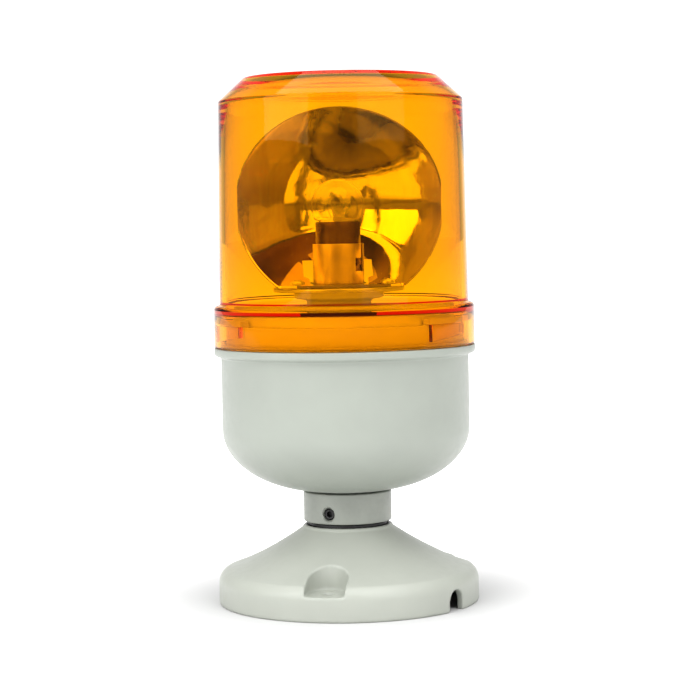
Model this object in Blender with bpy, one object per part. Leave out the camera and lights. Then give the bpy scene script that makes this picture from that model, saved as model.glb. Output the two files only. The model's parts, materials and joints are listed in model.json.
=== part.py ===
"""Rotating-mirror warning light on a screw-down pedestal base, built as separate pieces.

Units are metres, +Z is up and the origin is the centre of the base's underside. The mirror's
open side faces -Y at rest. An azimuth is an angle from -Y towards +X, seen from above.
"""
import math

import bmesh
import bpy
from mathutils import Matrix, Vector

MM = 0.001
GAP = 0.3 * MM                      # between pieces that touch
LARGE_STEPS = 32                    # sides of the housings
MEDIUM_STEPS = 20                   # sides of tubes, nuts and bores
SMALL_STEPS = 10                    # sides of screws and pins

# Base: a flared foot with three screw pockets and a cable notch.
BASE_R = 43.75 * MM
BASE_WALL_TOP = 7.0 * MM
BASE_SHOULDER = 4.96 * MM
BASE_FLARE_MID = (29.1 * MM, 15.4 * MM)
BASE_FLARE_TOP = (15.1 * MM, 25.1 * MM)
BASE_TOP = 26.0 * MM
BASE_SKIN = 2.6 * MM
BASE_HUB_R = 15.0 * MM
BASE_HUB_BOTTOM = 10.5 * MM
POCKET_AZIMUTHS = (-10.7, 109.3, 229.3)
POCKET_R = 6.55 * MM
POCKET_FLOOR = 8.2 * MM
FIXING_CIRCLE_R = 36.0 * MM
FIXING_HOLE_R = 2.2 * MM
NOTCH_AZIMUTH = 53.5
NOTCH_R = 3.7 * MM

# Stem that the head turns on, and the neck collar that grips it.
STEM_R = 10.0 * MM
STEM_BORE_R = 7.5 * MM
STEM_TOP = 44.0 * MM
GROOVE_Z = 30.6 * MM
COLLAR_R = 14.8 * MM
COLLAR_BORE_R = 10.25 * MM
COLLAR_BOTTOM = 27.2 * MM
COLLAR_TOP = 37.3 * MM
SPIGOT_R = 12.6 * MM
SPIGOT_TOP = 46.8 * MM
SET_SCREW_AZIMUTHS = (-26.0, 94.0, 214.0)

# Body: the bowl under the lens.
BODY_R = 41.5 * MM
BODY_SKIN = 2.6 * MM
BODY_BOTTOM = 37.6 * MM
BODY_CORNER_CENTRE = (8.5 * MM, 58.5 * MM)
BODY_CORNER_HALF = (33.0 * MM, 21.0 * MM)
BODY_FLOOR = 40.8 * MM
LIP_R = 43.7 * MM
LIP_TOP = 86.0 * MM
RIM_R = 39.6 * MM
RIM_BORE_R = 37.6 * MM
RIM_TOP = 93.5 * MM

# Bayonet between the body's rim and the lens.
BAYONET_AZIMUTHS = (-66.0, 54.0, 174.0)
HOOK_R = 41.2 * MM
HOOK_BOTTOM = 94.0 * MM
HOOK_TOP = 95.8 * MM
HOOK_ANGLE = 26.0
LUG_R = 40.0 * MM
LUG_BOTTOM = 88.4 * MM
LUG_TOP = 93.7 * MM
LUG_ANGLE = 24.0

# Lens.
LENS_SKIRT_R = 43.7 * MM
LENS_SKIRT_TOP = 98.7 * MM
LENS_BARREL_R = 41.62 * MM
LENS_BARREL_TOP_R = 40.8 * MM
LENS_BARREL_TOP = 167.6 * MM
LENS_CROWN_R = 32.4 * MM
LENS_TOP = 176.0 * MM
LENS_SKIN = 2.0 * MM

# Mechanism: everything below turns about, or stands on, one axis.
AXIS_X = -1.6 * MM                  # the mechanism stands a little off the housing's centre
PLATE_R = 36.6 * MM
PLATE_BOTTOM = 78.0 * MM
PLATE_TOP = 79.5 * MM
PLATE_SCREW_R = 33.0 * MM
PLATE_SCREW_ANGLES = (30.0, 150.0, 270.0)
COVER_R = 37.2 * MM                 # pale cover over the gears, level with the rim
COVER_HOLE_R = 15.6 * MM
COVER_TOP = 97.6 * MM
POST_R = 6.5 * MM
POST_BORE_R = 4.6 * MM
POST_BOTTOM = 72.0 * MM
POST_TOP = 104.4 * MM

# Gear train: rotor gear, two-step idler, motor pinion.
ROTOR_TEETH = 60
IDLER_SMALL_TEETH = 12
ROTOR_MODULE = 0.6 * MM
IDLER_LARGE_TEETH = 36
MOTOR_TEETH = 12
MOTOR_MODULE = 0.5 * MM
PRESSURE_ANGLE = math.radians(20)
BACKLASH = 0.16 * MM
IDLER_DISTANCE = (ROTOR_TEETH + IDLER_SMALL_TEETH) * ROTOR_MODULE / 2
MOTOR_DISTANCE = (IDLER_LARGE_TEETH + MOTOR_TEETH) * MOTOR_MODULE / 2
IDLER_ANGLE = math.radians(60)
MOTOR_OFFSET = 22.0 * MM            # motor shaft to rotor axis

# Mirror.
MIRROR_TURN = math.radians(7)       # where the mirror happens to stand at rest
MIRROR_FOCUS = 13.0 * MM
MIRROR_R = 34.5 * MM
MIRROR_HALF_WIDTH = 33.6 * MM
MIRROR_Z = 132.7 * MM
MIRROR_BOTTOM = 105.5 * MM
MIRROR_SKIN = 1.2 * MM
MIRROR_SCREW_X = 14.9 * MM
MIRROR_SCREW_Y = -11.5 * MM

# Lamp holder and lamp.
SOCKET_R = 8.55 * MM
SOCKET_BORE_R = 7.95 * MM
SOCKET_BOTTOM = 104.7 * MM
SOCKET_TOP = 120.0 * MM
PIN_AZIMUTH = 52.0
PIN_Z = 113.6 * MM
PIN_R = 1.2 * MM
CAP_R = 7.5 * MM
CAP_BOTTOM = 107.9 * MM
CAP_TOP = 127.4 * MM
GLASS_R = 9.2 * MM
GLASS_Z = 132.6 * MM
GLASS_SKIN = 0.6 * MM
SPRING_BOTTOM = 96.0 * MM
SPRING_TOP = 104.6 * MM

# Colours: (red, green, blue), roughness, metallic, transmission.
GREY = ((0.60, 0.63, 0.56), 0.42, 0.0, 0.0)
BASE_GREY = ((0.68, 0.70, 0.63), 0.42, 0.0, 0.0)
COLLAR_GREY = ((0.38, 0.40, 0.36), 0.45, 0.0, 0.0)
AMBER = ((1.0, 0.42, 0.0), 0.06, 0.0, 0.9)
CLEAR = ((0.95, 0.97, 1.0), 0.03, 0.0, 0.95)
MIRROR = ((0.92, 0.92, 0.93), 0.05, 1.0, 0.0)
BRASS = ((0.78, 0.60, 0.30), 0.3, 1.0, 0.0)
STEEL = ((0.62, 0.63, 0.64), 0.35, 1.0, 0.0)
ZINC = ((0.70, 0.71, 0.72), 0.4, 1.0, 0.0)
WHITE = ((0.82, 0.82, 0.79), 0.5, 0.0, 0.0)
BLACK = ((0.03, 0.03, 0.03), 0.7, 0.0, 0.0)
COPPER = ((0.80, 0.45, 0.28), 0.35, 1.0, 0.0)
RED = ((0.55, 0.03, 0.02), 0.5, 0.0, 0.0)


def clear_scene():
    for item in list(bpy.data.objects):
        bpy.data.objects.remove(item, do_unlink=True)


def paint(item, name, look):
    colour, roughness, metallic, transmission = look
    material = bpy.data.materials.new(name)
    material.use_nodes = True
    shader = material.node_tree.nodes["Principled BSDF"]
    shader.inputs["Base Color"].default_value = (*colour, 1.0)
    shader.inputs["Roughness"].default_value = roughness
    shader.inputs["Metallic"].default_value = metallic
    shader.inputs["Transmission Weight"].default_value = transmission
    item.data.materials.append(material)


# ---------------------------------------------------------------- outlines

def arc(centre, half_width, half_height, start, end, steps):
    """Points of an elliptical arc; angles in degrees from the +r direction towards +z."""
    points = []
    for step in range(steps + 1):
        angle = math.radians(start + (end - start) * step / steps)
        points.append((centre[0] + half_width * math.cos(angle), centre[1] + half_height * math.sin(angle)))
    return points


def bezier(start, middle, end, steps):
    """Points of a quadratic curve, without its first point."""
    points = []
    for step in range(1, steps + 1):
        t = step / steps
        points.append(tuple(
            (1 - t) ** 2 * a + 2 * t * (1 - t) * b + t * t * c for a, b, c in zip(start, middle, end)
        ))
    return points


def gear_outline(teeth, module, tooth_angle, flank_points):
    """Involute teeth with one tooth centred on tooth_angle (radians)."""
    pitch_r = teeth * module / 2
    base_r = pitch_r * math.cos(PRESSURE_ANGLE)
    tip_r = pitch_r + 0.9 * module
    root_r = pitch_r - 1.25 * module
    start_r = max(base_r, root_r)
    involute = math.tan(PRESSURE_ANGLE) - PRESSURE_ANGLE
    half_tooth = math.pi / (2 * teeth) - BACKLASH / (4 * pitch_r) + involute
    flank = []
    for step in range(flank_points):
        r = start_r + (tip_r - start_r) * step / (flank_points - 1)
        pressure = math.acos(min(1.0, base_r / r))
        flank.append((r, half_tooth - (math.tan(pressure) - pressure)))
    if root_r < base_r:
        flank.insert(0, (root_r, flank[0][1]))
    points = []
    for tooth in range(teeth):
        middle = tooth_angle + 2 * math.pi * tooth / teeth
        points += [(r * math.cos(middle - half), r * math.sin(middle - half)) for r, half in flank]
        points += [(r * math.cos(middle + half), r * math.sin(middle + half)) for r, half in reversed(flank)]
    return points


def circle_outline(radius, steps, centre=(0.0, 0.0)):
    return [
        (centre[0] + radius * math.cos(2 * math.pi * k / steps),
         centre[1] + radius * math.sin(2 * math.pi * k / steps))
        for k in range(steps)
    ]


def hexagon(across_flats):
    return circle_outline(across_flats / 2 / math.cos(math.radians(30)), 6)


# ---------------------------------------------------------------- solids

def lathe(mesh, profile, steps):
    """Turn a closed (r, z) profile about Z; points at r = 0 become one vertex."""
    rings = []
    for r, z in profile:
        if r == 0:
            rings.append([mesh.verts.new((0, 0, z))])
            continue
        angles = [2 * math.pi * k / steps for k in range(steps)]
        rings.append([mesh.verts.new((r * math.cos(a), r * math.sin(a), z)) for a in angles])
    for index, low in enumerate(rings):
        high = rings[(index + 1) % len(rings)]
        if len(low) == 1 and len(high) == 1:
            continue
        for k in range(steps):
            after = (k + 1) % steps
            corners = [low[k % len(low)], low[after % len(low)], high[after % len(high)], high[k % len(high)]]
            mesh.faces.new(list(dict.fromkeys(corners)))


def prism(mesh, outline, bottom, top, at=(0.0, 0.0)):
    low = [mesh.verts.new((x + at[0], y + at[1], bottom)) for x, y in outline]
    high = [mesh.verts.new((x + at[0], y + at[1], top)) for x, y in outline]
    mesh.faces.new(low)
    mesh.faces.new(high)
    for k in range(len(outline)):
        after = (k + 1) % len(outline)
        mesh.faces.new((low[k], low[after], high[after], high[k]))


def box(mesh, low, high):
    outline = [(low[0], low[1]), (high[0], low[1]), (high[0], high[1]), (low[0], high[1])]
    prism(mesh, outline, low[2], high[2])


def sector(mesh, inner_r, outer_r, bottom, top, azimuth, width, steps=4):
    """A piece of a ring, centred on an azimuth; angles in degrees."""
    angles = [math.radians(azimuth - 90 + width * (k / steps - 0.5)) for k in range(steps + 1)]
    outline = [(outer_r * math.cos(a), outer_r * math.sin(a)) for a in angles]
    outline += [(inner_r * math.cos(a), inner_r * math.sin(a)) for a in reversed(angles)]
    prism(mesh, outline, bottom, top)


def slot_outline(radius, start, end, steps=8):
    """A slot along +X from start to end, with a round inner end."""
    turns = [math.radians(90 + 180 * k / steps) for k in range(steps + 1)]
    points = [(start + radius * math.cos(a), radius * math.sin(a)) for a in turns]
    return points + [(end, -radius), (end, radius)]


def finish_mesh(mesh, name):
    bmesh.ops.recalc_face_normals(mesh, faces=mesh.faces)
    data = bpy.data.meshes.new(name)
    mesh.to_mesh(data)
    mesh.free()
    return data


def make(name, draw, look=None, parent=None, at=(0.0, 0.0, 0.0), turn=0.0):
    """One object whose mesh draw(mesh) builds around its own origin; no look makes it a cutter."""
    mesh = bmesh.new()
    draw(mesh)
    data = finish_mesh(mesh, name)
    item = bpy.data.objects.new(name, data)
    bpy.context.collection.objects.link(item)
    item.parent = parent
    item.location = at
    item.rotation_euler.z = turn
    if look is None:
        item.hide_render = True
        item.display_type = "WIRE"
    else:
        data.shade_smooth()
        data.set_sharp_from_angle(angle=math.radians(35))
        paint(item, name, look)
    return item


def combine(item, operation, draw, at=None, turn=None):
    """Add or cut a shape with an exact Boolean; the shape stands where the item stands."""
    tool = make(item.name + "_" + operation.lower(), draw, parent=item.parent)
    tool.location = item.location if at is None else at
    tool.rotation_euler.z = item.rotation_euler.z if turn is None else turn
    change = item.modifiers.new(operation.title(), "BOOLEAN")
    change.operation = operation
    change.solver = "EXACT"
    change.object = tool
    return tool


def axis_empty(name, at=(0.0, 0.0, 0.0)):
    empty = bpy.data.objects.new(name, None)
    empty.location = at
    bpy.context.collection.objects.link(empty)
    return empty


def turned(azimuth):
    """The turn about Z that carries +X onto an azimuth."""
    return math.radians(azimuth - 90)


def washer(name, look, inner_r, outer_r, bottom, top, parent, at=(0.0, 0.0, 0.0), steps=MEDIUM_STEPS):
    profile = [(inner_r, bottom), (outer_r, bottom), (outer_r, top), (inner_r, top)]
    return make(name, lambda mesh: lathe(mesh, profile, steps), look, parent, at)


def hex_nut(name, look, bore_r, across_flats, bottom, top, parent, at=(0.0, 0.0, 0.0)):
    nut = make(name, lambda mesh: prism(mesh, hexagon(across_flats), bottom, top), look, parent, at)
    combine(nut, "DIFFERENCE", lambda mesh: prism(mesh, circle_outline(bore_r, MEDIUM_STEPS), bottom - MM, top + MM))
    return nut


def pan_screw(name, look, shank_r, head_r, head_height, length, parent, at, tilt=0.0):
    """A screw along -Z with its head's underside at its origin and a slot across the head."""
    profile = [(0, -length), (shank_r, -length), (shank_r, 0), (head_r, 0)]
    profile += [(head_r, 0.45 * head_height), (0.7 * head_r, 0.9 * head_height), (0, head_height)]
    screw = make(name, lambda mesh: lathe(mesh, profile, SMALL_STEPS), look, parent, at)
    slot_half = 0.16 * head_r
    slot_low = (-1.2 * head_r, -slot_half, 0.55 * head_height)
    slot_high = (1.2 * head_r, slot_half, 2 * head_height)
    tool = combine(screw, "DIFFERENCE", lambda mesh: box(mesh, slot_low, slot_high))
    for item in (screw, tool):
        item.rotation_euler.x = tilt
    return screw


def wire(name, look, route, radius, parent, resolution=1):
    """A round wire through a list of points."""
    curve = bpy.data.curves.new(name, "CURVE")
    curve.dimensions = "3D"
    curve.bevel_depth = radius
    curve.bevel_resolution = resolution
    curve.render_resolution_u = 0
    curve.use_fill_caps = True
    spline = curve.splines.new("POLY")
    spline.points.add(len(route) - 1)
    for point, place in zip(spline.points, route):
        point.co = (*place, 1.0)
    item = bpy.data.objects.new(name, curve)
    bpy.context.collection.objects.link(item)
    item.parent = parent
    paint(item, name, look)
    return item


def smooth_route(points, steps):
    """A Catmull-Rom curve through the points."""
    places = [Vector(p) for p in points]
    places = [2 * places[0] - places[1]] + places + [2 * places[-1] - places[-2]]
    route = []
    for k in range(1, len(places) - 2):
        p0, p1, p2, p3 = places[k - 1:k + 3]
        for step in range(steps):
            t = step / steps
            route.append(0.5 * (2 * p1 + (p2 - p0) * t + (2 * p0 - 5 * p1 + 4 * p2 - p3) * t ** 2
                                + (3 * p1 - p0 - 3 * p2 + p3) * t ** 3))
    route.append(places[-2])
    return route


# ---------------------------------------------------------------- base and stem

def base_outline(inset):
    """The base's wall, shoulder and flare, moved in by inset along its normal."""
    centre = (BASE_R - BASE_SHOULDER, BASE_WALL_TOP)
    points = arc(centre, BASE_SHOULDER - inset, BASE_SHOULDER - inset, 0, 61.5, 3)
    lean = (0.48 * inset, 0.88 * inset)
    middle = (BASE_FLARE_MID[0] - lean[0], BASE_FLARE_MID[1] - lean[1])
    end = (BASE_FLARE_TOP[0] + 0.3 * inset, BASE_FLARE_TOP[1] - 1.1 * inset)
    return points + bezier(points[-1], middle, end, 5)


def build_base(parent):
    edge = 0.5 * MM
    foot = [(0, 0), (BASE_R - edge, 0), (BASE_R, edge)]
    outside = foot + base_outline(0) + [(BASE_FLARE_TOP[0], BASE_TOP - edge), (14.7 * MM, BASE_TOP), (0, BASE_TOP)]
    shell = make("base_shell", lambda mesh: lathe(mesh, outside, LARGE_STEPS), BASE_GREY, parent)

    inside = [(0, -MM), (BASE_R - BASE_SKIN, -MM)] + base_outline(BASE_SKIN)
    inside += [(BASE_HUB_R, 21.4 * MM), (BASE_HUB_R, BASE_HUB_BOTTOM), (0, BASE_HUB_BOTTOM)]
    hollow = combine(shell, "DIFFERENCE", lambda mesh: lathe(mesh, inside, LARGE_STEPS))
    for azimuth in POCKET_AZIMUTHS:
        def pocket_wall(mesh):
            wall = slot_outline(POCKET_R + 2.2 * MM, FIXING_CIRCLE_R, 60 * MM)
            prism(mesh, wall, POCKET_FLOOR - 3.2 * MM, 40 * MM)

        def pocket_boss(mesh):
            prism(mesh, circle_outline(4.8 * MM, 16, (FIXING_CIRCLE_R, 0)), -2 * MM, 6 * MM)

        combine(hollow, "DIFFERENCE", pocket_wall, turn=turned(azimuth))
        combine(hollow, "DIFFERENCE", pocket_boss, turn=turned(azimuth))
    for azimuth in POCKET_AZIMUTHS:
        def pocket(mesh):
            prism(mesh, slot_outline(POCKET_R, FIXING_CIRCLE_R, 60 * MM), POCKET_FLOOR, 41 * MM)

        def fixing_hole(mesh):
            prism(mesh, circle_outline(FIXING_HOLE_R, 16, (FIXING_CIRCLE_R, 0)), -3 * MM, 12 * MM)

        combine(shell, "DIFFERENCE", pocket, turn=turned(azimuth))
        combine(shell, "DIFFERENCE", fixing_hole, turn=turned(azimuth))
    combine(shell, "DIFFERENCE", cable_notch, turn=turned(NOTCH_AZIMUTH))
    combine(shell, "DIFFERENCE", stem_hole)


def cable_notch(mesh):
    """An arch through the outer wall, open at the underside."""
    turns = [math.radians(180 * k / 8) for k in range(9)]
    arch = [(NOTCH_R * math.cos(a), NOTCH_R - 0.4 * MM + NOTCH_R * math.sin(a)) for a in turns]
    arch += [(-NOTCH_R, -2 * MM), (NOTCH_R, -2 * MM)]
    near = [mesh.verts.new((37 * MM, y, z)) for y, z in arch]
    far = [mesh.verts.new((50 * MM, y, z)) for y, z in arch]
    mesh.faces.new(near)
    mesh.faces.new(far)
    for k in range(len(arch)):
        after = (k + 1) % len(arch)
        mesh.faces.new((near[k], near[after], far[after], far[k]))


def stem_hole(mesh):
    seat = [(0, 5 * MM), (10.4 * MM, 5 * MM), (10.4 * MM, 24 * MM), (13.6 * MM, 24 * MM)]
    lathe(mesh, seat + [(13.6 * MM, 30 * MM), (0, 30 * MM)], MEDIUM_STEPS)


def build_stem(parent):
    shoulder_r = 13.2 * MM
    groove = 1.4 * MM
    outside = [(STEM_R, 24.3 * MM), (shoulder_r, 24.3 * MM), (shoulder_r, 26.9 * MM), (STEM_R, 26.9 * MM)]
    outside += [(STEM_R, GROOVE_Z - groove), (STEM_R - MM, GROOVE_Z - groove)]
    outside += [(STEM_R - MM, GROOVE_Z + groove), (STEM_R, GROOVE_Z + groove), (STEM_R, STEM_TOP)]
    profile = [(STEM_BORE_R, 2.5 * MM), (STEM_R, 2.5 * MM)] + outside + [(STEM_BORE_R, STEM_TOP)]
    make("stem_pipe", lambda mesh: lathe(mesh, profile, MEDIUM_STEPS), STEEL, parent)
    washer("stem_washer", STEEL, 10.4 * MM, 14.0 * MM, 8.7 * MM, 10.2 * MM, parent)
    hex_nut("stem_nut", STEEL, 10.4 * MM, 26 * MM, 3.2 * MM, 8.4 * MM, parent)


# ---------------------------------------------------------------- head housing

def build_collar(parent):
    edge = 0.4 * MM
    profile = [(COLLAR_BORE_R, COLLAR_BOTTOM), (COLLAR_R - edge, COLLAR_BOTTOM), (COLLAR_R, COLLAR_BOTTOM + edge)]
    profile += [(COLLAR_R, COLLAR_TOP - edge), (COLLAR_R - edge, COLLAR_TOP), (SPIGOT_R, COLLAR_TOP)]
    profile += [(SPIGOT_R, SPIGOT_TOP), (COLLAR_BORE_R, SPIGOT_TOP)]
    collar = make("neck_collar", lambda mesh: lathe(mesh, profile, MEDIUM_STEPS), COLLAR_GREY, parent)
    for number, azimuth in enumerate(SET_SCREW_AZIMUTHS, start=1):
        combine(collar, "DIFFERENCE", set_screw_hole, turn=turned(azimuth))
        screw = make(f"set_screw_{number}", set_screw, BLACK, parent, turn=turned(azimuth))
        combine(screw, "DIFFERENCE", hex_socket)
    washer("neck_gasket", BLACK, 13.2 * MM, 16.5 * MM, 41.1 * MM, 41.9 * MM, parent)
    hex_nut("collar_nut", ZINC, 13.2 * MM, 33 * MM, 42.2 * MM, 46.6 * MM, parent)


def along_x(mesh, draw):
    """Draw a shape that stands on Z, then lay it along +X at the set screws' height."""
    draw(mesh)
    lay = Matrix.Translation((0, 0, GROOVE_Z)) @ Matrix.Rotation(math.radians(90), 4, "Y")
    bmesh.ops.transform(mesh, matrix=lay, verts=mesh.verts)


def set_screw_hole(mesh):
    along_x(mesh, lambda m: prism(m, circle_outline(2.15 * MM, 16), 6 * MM, 20 * MM))


def set_screw(mesh):
    point_r, thread_r = 1.1 * MM, 1.8 * MM
    profile = [(0, 9.35 * MM), (point_r, 9.35 * MM), (point_r, 10.5 * MM), (thread_r, 10.9 * MM)]
    along_x(mesh, lambda m: lathe(m, profile + [(thread_r, 13.7 * MM), (0, 13.7 * MM)], 16))


def hex_socket(mesh):
    along_x(mesh, lambda m: prism(m, hexagon(2.0 * MM), 12.2 * MM, 16 * MM))


def body_outside():
    start = math.degrees(math.acos((14.0 * MM - BODY_CORNER_CENTRE[0]) / BODY_CORNER_HALF[0]))
    corner = arc(BODY_CORNER_CENTRE, *BODY_CORNER_HALF, -start, 0, 7)
    under_lip = [(BODY_R, 81.8 * MM), (41.8 * MM, 82.8 * MM), (42.6 * MM, 83.3 * MM), (43.4 * MM, 83.7 * MM)]
    lip = [(LIP_R, 84.4 * MM), (LIP_R, LIP_TOP), (RIM_R, LIP_TOP), (RIM_R, RIM_TOP)]
    return [(12.9 * MM, BODY_BOTTOM)] + corner + under_lip + lip


def body_inside():
    half = (BODY_CORNER_HALF[0] - BODY_SKIN, BODY_CORNER_HALF[1] - BODY_SKIN)
    floor_r = 20.5 * MM
    start = math.degrees(math.acos((floor_r - BODY_CORNER_CENTRE[0]) / half[0]))
    corner = arc(BODY_CORNER_CENTRE, *half, 0, -start, 5)
    throat = [(RIM_BORE_R, RIM_TOP), (RIM_BORE_R, 81.0 * MM), (BODY_R - BODY_SKIN, 79.6 * MM)]
    return throat + corner + [(floor_r, BODY_FLOOR), (12.9 * MM, BODY_FLOOR)]


def screw_bosses(mesh):
    """Posts on ribs inside the wall, which carry the chassis plate."""
    for angle in PLATE_SCREW_ANGLES:
        turn = math.radians(angle)
        centre = (PLATE_SCREW_R * math.cos(turn), PLATE_SCREW_R * math.sin(turn))
        prism(mesh, circle_outline(3.4 * MM, SMALL_STEPS, centre), 62 * MM, PLATE_BOTTOM - GAP)


def boss_ribs(mesh):
    for angle in PLATE_SCREW_ANGLES:
        turn = math.radians(angle)
        corners = [(34 * MM, -1.3 * MM), (40 * MM, -1.3 * MM), (40 * MM, 1.3 * MM), (34 * MM, 1.3 * MM)]
        outline = [(x * math.cos(turn) - y * math.sin(turn), x * math.sin(turn) + y * math.cos(turn))
                   for x, y in corners]
        prism(mesh, outline, 61 * MM, PLATE_BOTTOM - GAP - 0.5 * MM)


def boss_holes(mesh):
    for angle in PLATE_SCREW_ANGLES:
        turn = math.radians(angle)
        centre = (PLATE_SCREW_R * math.cos(turn), PLATE_SCREW_R * math.sin(turn))
        prism(mesh, circle_outline(1.75 * MM, SMALL_STEPS, centre), 66 * MM, PLATE_BOTTOM + MM)


def bayonet_hooks(mesh):
    for azimuth in BAYONET_AZIMUTHS:
        sector(mesh, 38.4 * MM, HOOK_R, HOOK_BOTTOM, HOOK_TOP, azimuth, HOOK_ANGLE)


def hook_webs(mesh):
    for azimuth in BAYONET_AZIMUTHS:
        sector(mesh, 38.0 * MM, 39.2 * MM, 92 * MM, HOOK_TOP - 0.4 * MM, azimuth, HOOK_ANGLE - 1.0)


def build_body(parent):
    profile = body_outside() + body_inside()
    shell = make("body_shell", lambda mesh: lathe(mesh, profile, LARGE_STEPS), GREY, parent)
    combine(shell, "UNION", screw_bosses)
    combine(shell, "UNION", boss_ribs)
    combine(shell, "DIFFERENCE", boss_holes)
    combine(shell, "UNION", hook_webs)
    combine(shell, "UNION", bayonet_hooks)
    section = arc((40.6 * MM, 87.0 * MM), 0.65 * MM, 0.65 * MM, 0, 270, 3)
    make("rim_gasket", lambda mesh: lathe(mesh, section, LARGE_STEPS), BLACK, parent)


def build_lens(parent):
    shoulder_r = 1.5 * MM
    shoulder = arc((LENS_SKIRT_R - 0.15 * MM - shoulder_r, LENS_SKIRT_TOP), shoulder_r, shoulder_r, 0, 90, 3)
    outside = [(LENS_SKIRT_R, LIP_TOP + GAP)] + shoulder
    outside += [(LENS_BARREL_R, LENS_SKIRT_TOP + 1.8 * MM), (LENS_BARREL_TOP_R, LENS_BARREL_TOP)]
    outside += [(40.5 * MM, 168.4 * MM), (LENS_CROWN_R + 0.5 * MM, 175.1 * MM), (LENS_CROWN_R - 0.3 * MM, 175.5 * MM)]
    nub = [(2.0 * MM, LENS_TOP), (1.6 * MM, LENS_TOP + 0.5 * MM), (0, LENS_TOP + 0.5 * MM)]
    inside = [(0, LENS_TOP - LENS_SKIN), (31.6 * MM, 173.5 * MM), (38.7 * MM, 167.0 * MM)]
    inside += [(39.6 * MM, 101.0 * MM), (39.9 * MM, 98.4 * MM), (41.6 * MM, 97.4 * MM), (41.7 * MM, LIP_TOP + GAP)]
    lens = make("lens", lambda mesh: lathe(mesh, outside + nub + inside, LARGE_STEPS), AMBER, parent)
    combine(lens, "UNION", lens_lugs)


def lens_lugs(mesh):
    for azimuth in BAYONET_AZIMUTHS:
        sector(mesh, LUG_R, 42.4 * MM, LUG_BOTTOM, LUG_TOP, azimuth, LUG_ANGLE)


# ---------------------------------------------------------------- chassis

def mechanism_places():
    """Idler and motor axes, measured from the rotor axis."""
    between = math.acos((IDLER_DISTANCE ** 2 + MOTOR_OFFSET ** 2 - MOTOR_DISTANCE ** 2)
                        / (2 * IDLER_DISTANCE * MOTOR_OFFSET))
    motor_angle = IDLER_ANGLE + between
    idler = (AXIS_X + IDLER_DISTANCE * math.cos(IDLER_ANGLE), IDLER_DISTANCE * math.sin(IDLER_ANGLE), 0.0)
    motor = (AXIS_X + MOTOR_OFFSET * math.cos(motor_angle), MOTOR_OFFSET * math.sin(motor_angle), 0.0)
    return idler, motor


def motor_screw_places():
    idler, motor = mechanism_places()
    along = math.atan2(motor[1] - idler[1], motor[0] - idler[0]) + math.pi / 2
    step = (8.5 * MM * math.cos(along), 8.5 * MM * math.sin(along))
    return [(motor[0] + side * step[0], motor[1] + side * step[1]) for side in (-1, 1)]


def plate_holes(mesh):
    idler, motor = mechanism_places()
    low, high = PLATE_BOTTOM - MM, PLATE_TOP + MM
    prism(mesh, circle_outline(6.9 * MM, MEDIUM_STEPS, (AXIS_X, 0)), low, high)
    prism(mesh, circle_outline(1.9 * MM, SMALL_STEPS, idler[:2]), low, high)
    prism(mesh, circle_outline(3.5 * MM, 16, motor[:2]), low, high)
    for place in motor_screw_places():
        prism(mesh, circle_outline(1.6 * MM, SMALL_STEPS, place), low, high)
    for angle in PLATE_SCREW_ANGLES:
        turn = math.radians(angle)
        centre = (PLATE_SCREW_R * math.cos(turn), PLATE_SCREW_R * math.sin(turn))
        prism(mesh, circle_outline(1.8 * MM, SMALL_STEPS, centre), low, high)


def build_chassis(parent):
    outline = circle_outline(PLATE_R, LARGE_STEPS)
    plate = make("chassis_plate", lambda mesh: prism(mesh, outline, PLATE_BOTTOM, PLATE_TOP), WHITE, parent)
    combine(plate, "DIFFERENCE", plate_holes)
    for number, angle in enumerate(PLATE_SCREW_ANGLES, start=1):
        turn = math.radians(angle)
        place = (PLATE_SCREW_R * math.cos(turn), PLATE_SCREW_R * math.sin(turn), PLATE_TOP + GAP)
        pan_screw(f"chassis_screw_{number}", ZINC, 1.45 * MM, 2.6 * MM, 1.8 * MM, 11 * MM, parent, place)

    centre = (AXIS_X, 0, 0)
    flange_r = 10.0 * MM
    post = [(POST_BORE_R, POST_BOTTOM), (POST_R, POST_BOTTOM), (POST_R, PLATE_TOP + GAP)]
    post += [(flange_r, PLATE_TOP + GAP), (flange_r, 81.3 * MM), (POST_R, 81.3 * MM)]
    post += [(POST_R, POST_TOP), (POST_BORE_R, POST_TOP)]
    make("centre_post", lambda mesh: lathe(mesh, post, MEDIUM_STEPS), ZINC, parent, centre)
    hex_nut("post_nut", ZINC, 6.9 * MM, 16 * MM, 74.0 * MM, PLATE_BOTTOM - GAP, parent, centre)
    washer("thrust_washer", WHITE, 6.9 * MM, 9.4 * MM, 81.6 * MM, 82.3 * MM, parent, centre)


def build_gear_cover(parent):
    """A shallow cup that stands upside down on the chassis plate, over the gears."""
    wall, skin, edge = 0.9 * MM, 1.2 * MM, 0.5 * MM
    foot = PLATE_TOP + GAP
    outside = [(0, COVER_TOP), (COVER_R - edge, COVER_TOP), (COVER_R, COVER_TOP - edge), (COVER_R, foot)]
    inside = [(COVER_R - wall, foot), (COVER_R - wall, COVER_TOP - skin), (0, COVER_TOP - skin)]
    cover = make("gear_cover", lambda mesh: lathe(mesh, outside + inside, LARGE_STEPS), WHITE, parent)
    combine(cover, "DIFFERENCE", cover_hole)


def cover_hole(mesh):
    """Lets the rotor's flange through, on the rotor's own axis."""
    prism(mesh, circle_outline(COVER_HOLE_R, MEDIUM_STEPS, (AXIS_X, 0)), COVER_TOP - 3 * MM, COVER_TOP + MM)


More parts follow.
